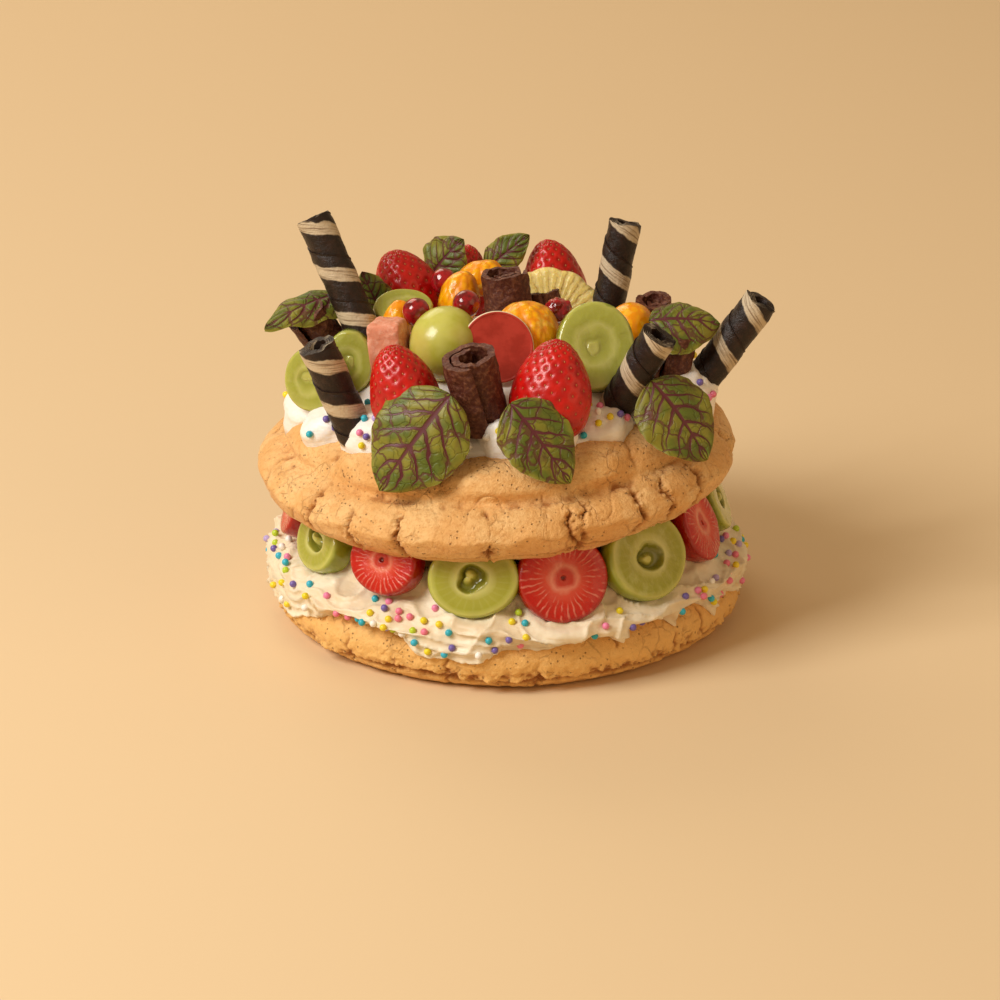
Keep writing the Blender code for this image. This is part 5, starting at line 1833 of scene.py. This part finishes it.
@dataclass
class Strawberry:
    """A whole strawberry: an egg turned about its axis, dimpled round seeds in a golden spiral."""

    number: int
    centre: Point
    along: Point
    radius: float
    length: float
    seed_room: float = 2.2
    stations: tuple[float, ...] = (0.0, 0.015, 0.06, 0.18, 0.38, 0.62, 0.82, 0.94, 0.985, 1.0)
    radii: tuple[float, ...] = (0.16, 0.36, 0.62, 0.90, 1.0, 0.88, 0.64, 0.37, 0.18, 0.05)

    def surface(self, share: Array, angle: Array) -> Array:
        """Points at shares of the length and angles about the axis.

        Args:
            share: Place along the outline, 0 to 1.
            angle: Angle in radians.

        Returns:
            The points.
        """
        first, second, third = axes_from(self.along, (0, -1, 0.1))
        curve, _ = smooth_curve(np.stack([self.stations, self.radii], axis=1), 400)
        travel = np.concatenate([[0], np.cumsum(np.linalg.norm(np.diff(curve * (2, 1), axis=0), axis=1))])
        place = travel / travel[-1]
        station = np.interp(share, place, curve[:, 0]) * self.length
        radius = np.interp(share, place, curve[:, 1]) * self.radius
        lobes = 1 + 0.035 * np.sin(3 * angle + self.number) + 0.02 * np.sin(5 * angle + 2 * self.number)
        start = np.array(self.centre) - third * self.length * 0.45
        circle = turned_way(first, second, angle)
        return start + third * station[..., None] + circle * (radius * lobes)[..., None]

    def build(self) -> Piece:
        """Builds the berry and its seeds.

        Returns:
            The finished piece.
        """
        share, angle = np.meshgrid(np.linspace(0, 1, 96), np.arange(128) * TURN / 128, indexing="ij")
        points = self.surface(share, angle)
        points += grid_normals(points) * (0.5 * RELIEF.at(points + 50 * self.number, 10))[..., None]
        seeds = int(self.radius * self.length / self.seed_room)
        order = np.arange(seeds)
        spot_share = 0.05 + 0.93 * (order + 0.5) / seeds
        spot_angle = order * np.pi * (3 - math.sqrt(5))
        step = 0.01
        spots = self.surface(spot_share, spot_angle)
        below, above = (self.surface(spot_share + move, spot_angle) for move in (-step, step))
        left, right = (self.surface(spot_share, spot_angle + move) for move in (-step, step))
        climb, wide = unit(above - below), unit(right - left)
        outward = np.cross(wide, climb)
        spots = spots + outward * (0.5 * RELIEF.at(spots + 50 * self.number, 10))[..., None]
        flat = points.reshape(-1, 3)
        near = np.linalg.norm(flat[:, None] - spots[None], axis=2).min(axis=1).reshape(share.shape)
        dimple = np.exp(-((near / 0.95) ** 2))
        points = points - grid_normals(points) * (0.55 * dimple)[..., None]
        skin = Skin()
        # The tint paints shade into the dimples
        skin.add_grid(points, poles=row_means(points), tint=dimple * 0.3)
        skin.add_balls(spots - outward * 0.4, np.stack([wide, climb, outward], axis=1), (0.26, 0.46, 0.22),
                       np.ones(seeds))
        name, node = f"berry_whole_{self.number}", f"strawberry_{self.number}"
        return skin.build(name, StrawberrySkin(), Slot.STRAWBERRY, node)


@dataclass
class Ball:
    """An egg about an axis: radius and half length times sine and cosine, with soft lumps."""

    piece: str
    node: str
    centre: Point
    along: Point
    radius: float
    half_length: float
    finish: Finish
    slot: Slot
    lumps: float = 0.3
    lump_size: float = 6.0
    around: int = 96
    levels: int = 60

    def build(self) -> Piece:
        """Builds the ball.

        Returns:
            The finished piece.
        """
        first, second, third = axes_from(self.along, (0.1, -1, 0.2))
        down = np.linspace(0.02, np.pi - 0.02, self.levels)
        down, turn = np.meshgrid(down, np.arange(self.around) * TURN / self.around, indexing="ij")
        ring = turned_way(first, second, turn)
        climb = third * np.cos(down)[..., None]
        way = ring * np.sin(down)[..., None] * self.radius - climb * self.half_length
        points = np.array(self.centre) + way
        lump = self.lumps * RELIEF.layered(points, self.lump_size, 3, 0.5)
        points = points + unit(way) * lump[..., None]
        skin = Skin()
        skin.add_grid(points, poles=row_means(points))
        return skin.build(self.piece, self.finish, self.slot, self.node)


@dataclass
class CutFruit:
    """A cut piece of fruit: a wet face, a rounded rim and a back, as rings about the way that it faces."""

    piece: str
    node: str
    kind: Cut
    centre: Point
    facing: Point
    half_width: float
    half_height: float
    depth: float
    back_share: float
    around: int = 96

    def build(self) -> Piece:
        """Builds the fruit: shares of the outline and how far each ring stands back from the face.

        Returns:
            The finished piece.
        """
        first, second, outward = axes_from(self.facing, UP)
        hearts = {
            Cut.STRAWBERRY: ((0.02, 1.0), (0.05, 0.8), (0.08, 0.1), (0.2, 0.05), (0.6, -0.2), (0.86, 0.0)),
            Cut.HOLLOW_GRAPE: (
                (0.02, -0.1), (0.09, 0.1), (0.15, 1.4), (0.21, 2.4), (0.28, 2.0), (0.34, 0.4), (0.4, -0.1),
                (0.7, -0.2), (0.87, 0.0)),
            Cut.SOLID_GRAPE: ((0.02, 0.2), (0.12, 0.1), (0.18, 0.35), (0.3, 0.1), (0.6, -0.25), (0.87, 0.0)),
        }
        share = [place for place, _ in hearts[self.kind]]
        back = [sink for _, sink in hearts[self.kind]]
        share += [0.93, 0.97, 0.99, 1.0, 0.995, (1 + self.back_share) / 2, self.back_share,
                  self.back_share * 0.85, 0.3]
        back += [0.25, 0.8, 1.6, self.depth * 0.38, self.depth * 0.6, self.depth * 0.85, self.depth * 0.97,
                 self.depth, self.depth]
        rings, place = smooth_curve(np.stack([share, back], axis=1), 76)
        angle = np.arange(self.around) * TURN / self.around
        seed = np.array(self.centre)
        grape = self.kind is not Cut.STRAWBERRY
        bend = 0.02 + (0.3 if grape else 0.1) * ease(0.5, 0.2, rings[:, :1])
        around = np.stack([7 * np.cos(angle), 7 * np.sin(angle), 0 * angle], axis=-1) + seed
        wobble = 1 + bend * (2.2 * RELIEF.at(around, 8) + 0.5 * np.sin(2 * angle + seed[0]))[None]
        circle = first * (np.cos(angle) * self.half_width)[:, None]
        circle = circle + second * (np.sin(angle) * self.half_height)[:, None]
        points = seed + circle[None] * (rings[:, :1] * wobble)[..., None] - outward * rings[:, 1:, None]
        if grape:
            aside = circle[int(4.7 * seed[0]) % self.around] * 0.09
            inner = ease(0.32, 0.12, rings[:, :1]) * np.exp(-(place[:, None] / 6) ** 4)
            points = points + aside * inner[..., None]
        lump = 0.2 * RELIEF.layered(points, 5, 3) * ease(0, 3, place)[:, None]
        points = points + outward * lump[..., None]
        pattern = np.minimum(rings[:, 0], 1.0)
        pattern[np.argmax(rings[:, 0]):] = 1.0
        skin = Skin()
        poles = row_means(points)
        skin.add_grid(points, poles=poles, v=pattern * 0.84, flip=True)
        finishes = {Cut.STRAWBERRY: CutStrawberry, Cut.HOLLOW_GRAPE: CutGrape, Cut.SOLID_GRAPE: SolidGrape}
        slot = Slot.STRAWBERRY if self.kind is Cut.STRAWBERRY else Slot.GRAPE
        return skin.build(self.piece, finishes[self.kind](), slot, self.node)


@dataclass
class PineappleSlice:
    """Half a ring of pineapple: a rounded oblong section carried round a scalloped arc."""

    centre: Point = (16.5, 29.0, 102.5)
    facing: Point = (0.10, -1.0, 0.35)
    radius: float = 22.0
    core: float = 8.0
    thickness: float = 9.0
    scallops: int = 7

    def build(self) -> Piece:
        """Builds the slice.

        Returns:
            The finished piece.
        """
        first, second, outward = axes_from(self.facing, UP)
        turn = np.linspace(-0.08 * np.pi, 1.08 * np.pi, 120)[:, None]
        section = np.arange(48) * TURN / 48
        wave = np.abs(np.sin(np.linspace(0, np.pi * self.scallops, 120)))[:, None]
        outer = self.radius + 0.9 * wave - 0.45
        middle, half = (outer + self.core) / 2, (outer - self.core) / 2
        away = middle + half * boxed(np.cos(section), 0.45)
        deep = self.thickness / 2 * (boxed(np.sin(section), 0.45) - 1)
        direction = turned_way(first, second, turn)
        points = np.array(self.centre) + direction * away[..., None] + outward * (deep + 0 * turn)[..., None]
        points = points + outward * (0.35 * RELIEF.layered(points, 4, 3))[..., None]
        skin = Skin()
        skin.add_grid(points, poles=row_means(points))
        return skin.build("pineapple", PineappleFlesh(), Slot.PINEAPPLE, "pineapple_slice", crease=60)


@dataclass
class PinkBlock:
    """A block with soft edges: sines and cosines raised to a small power fill out a box."""

    centre: Point = (-43.8, -26.0, 113.6)
    along: Point = (-0.12, 0.05, 1.0)
    towards: Point = (-0.35, -1.0, 0.0)
    size: Point = (13.5, 12.0, 22.0)
    power: float = 0.28

    def build(self) -> Piece:
        """Builds the block.

        Returns:
            The finished piece.
        """
        first, second, third = axes_from(self.along, self.towards)
        down = np.linspace(0.004, np.pi - 0.004, 80)
        down, turn = np.meshgrid(down, np.arange(112) * TURN / 112, indexing="ij")
        wide, deep, high = (value / 2 for value in self.size)
        x = wide * boxed(np.sin(down), self.power) * boxed(np.cos(turn), self.power)
        y = deep * boxed(np.sin(down), self.power) * boxed(np.sin(turn), self.power)
        z = -high * boxed(np.cos(down), self.power)
        points = np.array(self.centre) + first * x[..., None] + second * y[..., None] + third * z[..., None]
        lump = 0.4 * RELIEF.layered(points, 4, 3, 0.7)
        points = points + unit(points - np.array(self.centre)) * lump[..., None]
        skin = Skin()
        skin.add_grid(points, poles=row_means(points))
        return skin.build("marshmallow", PinkSugar(), Slot.PINK, "pink_block")


@dataclass
class Plaque:
    """A plain coated disc with a raised rim: a stepped profile turned about the way that it faces."""

    centre: Point = (-3.6, -35.0, 117.3)
    facing: Point = (0.05, -1.0, 0.35)
    radius: float = 13.6
    thickness: float = 2.2

    def build(self) -> Piece:
        """Builds the disc.

        Returns:
            The finished piece.
        """
        first, second, outward = axes_from(self.facing, UP)
        rim = self.radius
        profile = np.array([
            (0.4, -0.25), (rim * 0.5, -0.25), (rim - 1.5, -0.25), (rim - 1.2, -0.2), (rim - 1.0, -0.05),
            (rim - 0.8, 0.0), (rim - 0.45, 0.0), (rim - 0.15, -0.2), (rim, -0.7),
            (rim, -self.thickness + 0.5), (rim - 0.4, -self.thickness), (rim * 0.5, -self.thickness),
            (0.4, -self.thickness),
        ])
        angle = np.arange(128) * TURN / 128
        circle = turned_way(first, second, angle)
        points = np.array(self.centre) + circle[None] * profile[:, :1, None] + outward * profile[:, 1:, None]
        cream = np.where((profile[:, 0] > rim - 0.3) & (profile[:, 1] > -1.0), 1.0, 0.0)
        skin = Skin()
        poles = row_means(points)
        skin.add_grid(points, poles=poles, tint=np.repeat(cream, 128), flip=True)
        return skin.build("disc", CoatedDisc(), Slot.PLAQUE, "red_disc", crease=40)


@dataclass
class Leaf:
    """A thin wavy leaf: it bulges, its sides cup back, ribs sink and the blade puffs between."""

    number: int
    stalk: Point
    tip: Point
    facing: Point
    width: float
    bulge: float
    cup: float
    thickness: float = 0.7
    ribs: float = 6.0

    def build(self) -> Piece:
        """Builds the leaf: both faces in one ring of columns, from the stalk to the tip.

        Returns:
            The finished piece.
        """
        stalk, tip = np.array(self.stalk), np.array(self.tip)
        first, outward, along = axes_from(tuple(tip - stalk), self.facing)
        length = np.linalg.norm(tip - stalk)
        place = np.linspace(0.004, 0.996, 96)[:, None]
        curve, _ = smooth_curve(np.array([
            (0.0, 0.04), (0.06, 0.48), (0.22, 0.88), (0.42, 1.0), (0.66, 0.84), (0.84, 0.51), (0.94, 0.24),
            (1.0, 0.0)]), 200)
        share = np.interp(place, curve[:, 0], curve[:, 1])
        teeth = 1 + 0.01 * np.sin(place * 50 + self.number) + 0.022 * np.sin(place * 19 + 2 * self.number)
        top = np.linspace(-1, 1, 56)
        across = np.concatenate([top, top[::-1]])[None]
        side = np.concatenate([np.ones(56), -np.ones(56)])[None]
        wave = 0.5 * np.sin(7 * place + 3 * across) * np.abs(across)
        wave = wave + 0.9 * np.sin(17 * place + 2 * np.sign(across) + self.number) * across ** 4
        rise = self.bulge * 4 * place * (1 - place) - self.cup * across ** 2 * share + wave
        swept = (place - 0.34 * np.abs(across) ** 1.15) * self.ribs
        puff = 0.5 * (1 - np.exp(-((across / 0.12) ** 2))) * np.abs(np.sin(np.pi * swept)) ** 0.7
        edge = np.sqrt(np.clip(1 - across ** 8, 0, 1))
        rise = rise + puff * edge - 0.3 + side * self.thickness / 2 * edge * ease(0, 0.04, place)
        points = stalk + along * (length * place + 0 * across)[..., None] + outward * rise[..., None]
        points = points + first * (across * share * teeth * self.width / 2)[..., None]
        skin = Skin()
        poles = row_means(points)
        pattern = (np.append(across[0], across[0, 0]) + 1) / 2
        skin.add_grid(points, poles=poles, u=pattern, v=place[:, 0], flip=True)
        return skin.build(f"blade_{self.number}", RedLeaf(), Slot.LEAF, f"leaf_{self.number}")


# Stalk, tip, way that the blade faces, width, bulge and cup
LEAVES = (
    ((-20.6, -71.0, 112.4), (-47.0, -76.0, 76.6), (-0.25, -1.0, 0.45), 37.0, 3.0, 3.5),
    ((1.0, -73.0, 110.0), (23.0, -80.0, 81.0), (0.25, -1.0, 0.40), 27.0, 2.5, 2.5),
    ((53.1, -46.5, 108.6), (74.0, -56.0, 80.5), (0.55, -1.0, 0.45), 31.0, 3.0, 3.0),
    ((53.3, -11.0, 119.1), (80.3, -9.0, 116.8), (0.1, -0.7, 1.0), 24.0, 2.5, 6.5),
    ((-61.0, 12.0, 122.0), (-91.5, -10.0, 115.5), (-0.1, -0.5, 1.0), 18.0, 3.0, 3.0),
    ((-47.5, 18.0, 111.0), (-55.5, 22.0, 127.0), (-0.2, -1.0, 0.5), 14.0, 1.5, 1.5),
    ((-30.0, 46.0, 116.0), (-17.0, 44.0, 132.5), (-0.2, -1.0, 0.6), 20.0, 2.0, 2.0),
    ((-8.5, 47.0, 118.5), (8.6, 49.0, 132.5), (0.1, -1.0, 0.6), 14.0, 1.5, 1.5),
)
# Centre, axis, radius and length
STRAWBERRIES = (
    ((16.8, -55.0, 106.5), (0.08, 0.10, 1.0), 15.2, 38.0),
    ((-38.0, -54.0, 106.0), (-0.30, 0.05, 1.0), 13.2, 36.0),
    ((-37.5, 32.0, 114.5), (-0.45, 0.0, 1.0), 13.0, 34.0),
    ((18.0, 52.0, 111.0), (-0.15, 0.1, 1.0), 12.5, 33.0),
    ((-16.5, 52.0, 108.0), (0.10, 0.1, 1.0), 10.5, 34.0),
)
# Centre, way that the face looks, half width, half height and depth
GRAPE_HALVES = (
    ((-74.3, -25.0, 100.4), (-0.55, -1.0, 0.25), 11.0, 12.6, 10.0),
    ((-59.9, -15.0, 103.8), (-0.15, -1.0, 0.30), 9.5, 12.4, 9.5),
    ((33.1, -32.0, 117.2), (0.10, -1.0, 0.55), 14.6, 17.0, 11.0),
    ((-39.2, 6.0, 119.0), (0.10, -0.6, 1.0), 11.5, 9.0, 9.0),
)
# Centre, axis, radius and half length
MANDARINS = (
    ((-18.3, 16.0, 117.5), (0.2, 0.1, 1.0), 7.8, 11.5),
    ((-10.0, 34.0, 120.0), (1.0, 0.1, 0.25), 6.8, 9.5),
    ((7.4, -19.0, 117.5), (0.35, 0.1, 1.0), 12.2, 11.8),
    ((-42.4, -8.0, 114.0), (0.25, 0.1, 1.0), 6.0, 12.0),
)
# Centre, radius and height of the lumps
CURRANTS = (
    ((-34.1, -16.0, 124.4), 5.3, 0.15),
    ((-24.2, 22.0, 123.0), 5.0, 0.15),
    ((-15.3, -15.8, 127.6), 5.2, 0.15),
    ((19.1, -8.0, 122.2), 5.0, 1.1),
)
# Width of the back of a half and of a slice against its face, and the rise of the way a slice looks
HALF_BACK = 0.55
SLICE_BACK = 0.93
RING_FACE_RISE = 0.42


def ring_fruits() -> list[CutFruit]:
    """The slices that stand between the tiers, numbered by kind.

    Returns:
        One cut fruit for each.
    """
    counts = {kind: 0 for kind in Cut}
    made = []
    for kind, bearing, distance, height, wide, high, depth in RING_FRUITS:
        counts[kind] += 1
        centre = tuple(bearing_point(np.array(bearing), distance, height))
        facing = tuple(bearing_point(np.array(bearing), 1.0, RING_FACE_RISE))
        label = f"{kind.value}_{counts[kind]}"
        made.append(CutFruit(
            f"slice_{label}", f"ring_{label}", kind, centre, facing, wide, high, depth, SLICE_BACK))
    return made


def top_fruits() -> list[Strawberry | Ball | CutFruit | PineappleSlice]:
    """The fruit on the upper tier.

    Returns:
        One builder for each piece.
    """
    made: list[Strawberry | Ball | CutFruit | PineappleSlice] = []
    for number, shape in enumerate(STRAWBERRIES, 1):
        made.append(Strawberry(number, *shape))
    made.append(Ball(
        "grape_berry", "grape_whole", (-23.3, -27.0, 115.9), (0.3, 0.1, 1.0), radius=13.3, half_length=14.2,
        finish=GrapeSkin(), slot=Slot.GRAPE, lump_size=16))
    for number, shape in enumerate(GRAPE_HALVES, 1):
        made.append(CutFruit(
            f"grape_cut_{number}", f"grape_half_{number}", Cut.SOLID_GRAPE, *shape, HALF_BACK))
    for number, shape in enumerate(MANDARINS, 1):
        made.append(Ball(
            f"segment_{number}", f"mandarin_{number}", *shape, finish=CitrusFlesh(), slot=Slot.CITRUS,
            lumps=0.35, lump_size=5.0))
    made.append(Ball(
        "mango_ball", "apricot_ball", (46.8, 4.0, 110.0), (0.1, 0.1, 1.0), radius=9.8, half_length=10.5,
        finish=ApricotBall(), slot=Slot.CITRUS, lumps=0.3, lump_size=7.0))
    for number, (centre, radius, lumps) in enumerate(CURRANTS, 1):
        made.append(Ball(
            f"currant_{number}", f"berry_{number}", centre, (0.2, 0.1, 1), radius, radius,
            finish=GlossBerry(), slot=Slot.BERRY, lumps=lumps, lump_size=4.0))
    made.append(PineappleSlice())
    return made


# Stage


@dataclass
class Studio:
    """A pale plain floor, soft light from the upper left, and the camera."""

    target_mm: Point = (-2.7, 0.0, 41.6)
    distance: float = 1.8
    elevation: float = 22.4
    lens: float = 168.48
    sensor: float = 36.0
    floor: str = "#e3c89f"
    floor_side: float = 12.0
    sky: str = "#f4d3a6"
    sky_strength: float = 0.42
    aim_height: float = 0.07
    lamps: tuple[tuple[str, Point, float, float, str], ...] = (
        ("key", (-1.12, -0.66, 1.22), 0.8, 27, "#fffdf8"),
        ("fill", (1.3, -0.9, 0.7), 1.2, 3.4, "#ffd9a8"),
        ("rim", (-0.6, 1.2, 1.0), 0.9, 6, "#fff2df"),
    )

    def light(self, name: str, place: Point, size: float, power: float, colour: str) -> None:
        """Adds an area light that looks at the cake.

        Args:
            name: Its name.
            place: Where it is, in metres.
            size: Its side, in metres.
            power: Its power in watts.
            colour: Its colour in hex.
        """
        data = bpy.data.lights.new(name, "AREA")
        data.size = size
        data.energy = power
        data.color = linear(colour)[:3]
        lamp = bpy.data.objects.new(name, data)
        lamp.location = place
        way = unit(np.array(place) - (0, 0, self.aim_height))
        lamp.rotation_euler = (math.acos(way[2]), 0, math.atan2(way[1], way[0]) + math.pi / 2)
        bpy.context.scene.collection.objects.link(lamp)

    def build(self) -> None:
        """Builds the floor, the lights, the world and the camera."""
        scene = bpy.context.scene
        mesh = bpy.data.meshes.new("floor")
        side = self.floor_side / 2
        corners = [(-side, -side, 0), (side, -side, 0), (side, side, 0), (-side, side, 0)]
        mesh.from_pydata(corners, [], [(0, 1, 2, 3)])
        floor = bpy.data.objects.new("floor", mesh)
        scene.collection.objects.link(floor)
        paper = Recipe("matt paper floor")
        paper.feed(paper.shader, {"Base Color": self.floor, "Roughness": 0.85})
        mesh.materials.append(paper.material)
        for lamp in self.lamps:
            self.light(*lamp)
        world = bpy.data.worlds.new("studio")
        scene.world = world
        world.use_nodes = True
        sky = world.node_tree.nodes["Background"]
        sky.inputs["Color"].default_value = linear(self.sky)
        sky.inputs["Strength"].default_value = self.sky_strength
        scene.view_settings.view_transform = "Standard"
        data = bpy.data.cameras.new("camera")
        data.lens = self.lens
        data.sensor_width = self.sensor
        camera = bpy.data.objects.new("camera", data)
        tilt = math.radians(self.elevation)
        target = np.array(self.target_mm) * METRES
        camera.location = target + self.distance * np.array([0, -math.cos(tilt), math.sin(tilt)])
        camera.rotation_euler = (math.pi / 2 - tilt, 0, 0)
        scene.collection.objects.link(camera)
        scene.camera = camera


def main() -> None:
    """Builds the cake piece by piece, then the stage."""
    logging.basicConfig(level=logging.INFO, format="%(message)s")
    pieces = [BaseTier().build(), UpperTier().build()]
    pieces += Filling().build()
    pieces += TopCream().build()
    makers = [*ring_fruits(), *top_fruits(), *rolled_pieces(), PinkBlock(), Plaque()]
    makers += [Leaf(number, *shape) for number, shape in enumerate(LEAVES, 1)]
    pieces += [maker.build() for maker in makers]
    for piece in pieces:
        LOG.info("%s: %d faces", piece.name, len(piece.data.polygons))
    Studio().build()


if __name__ == "__main__":
    main()
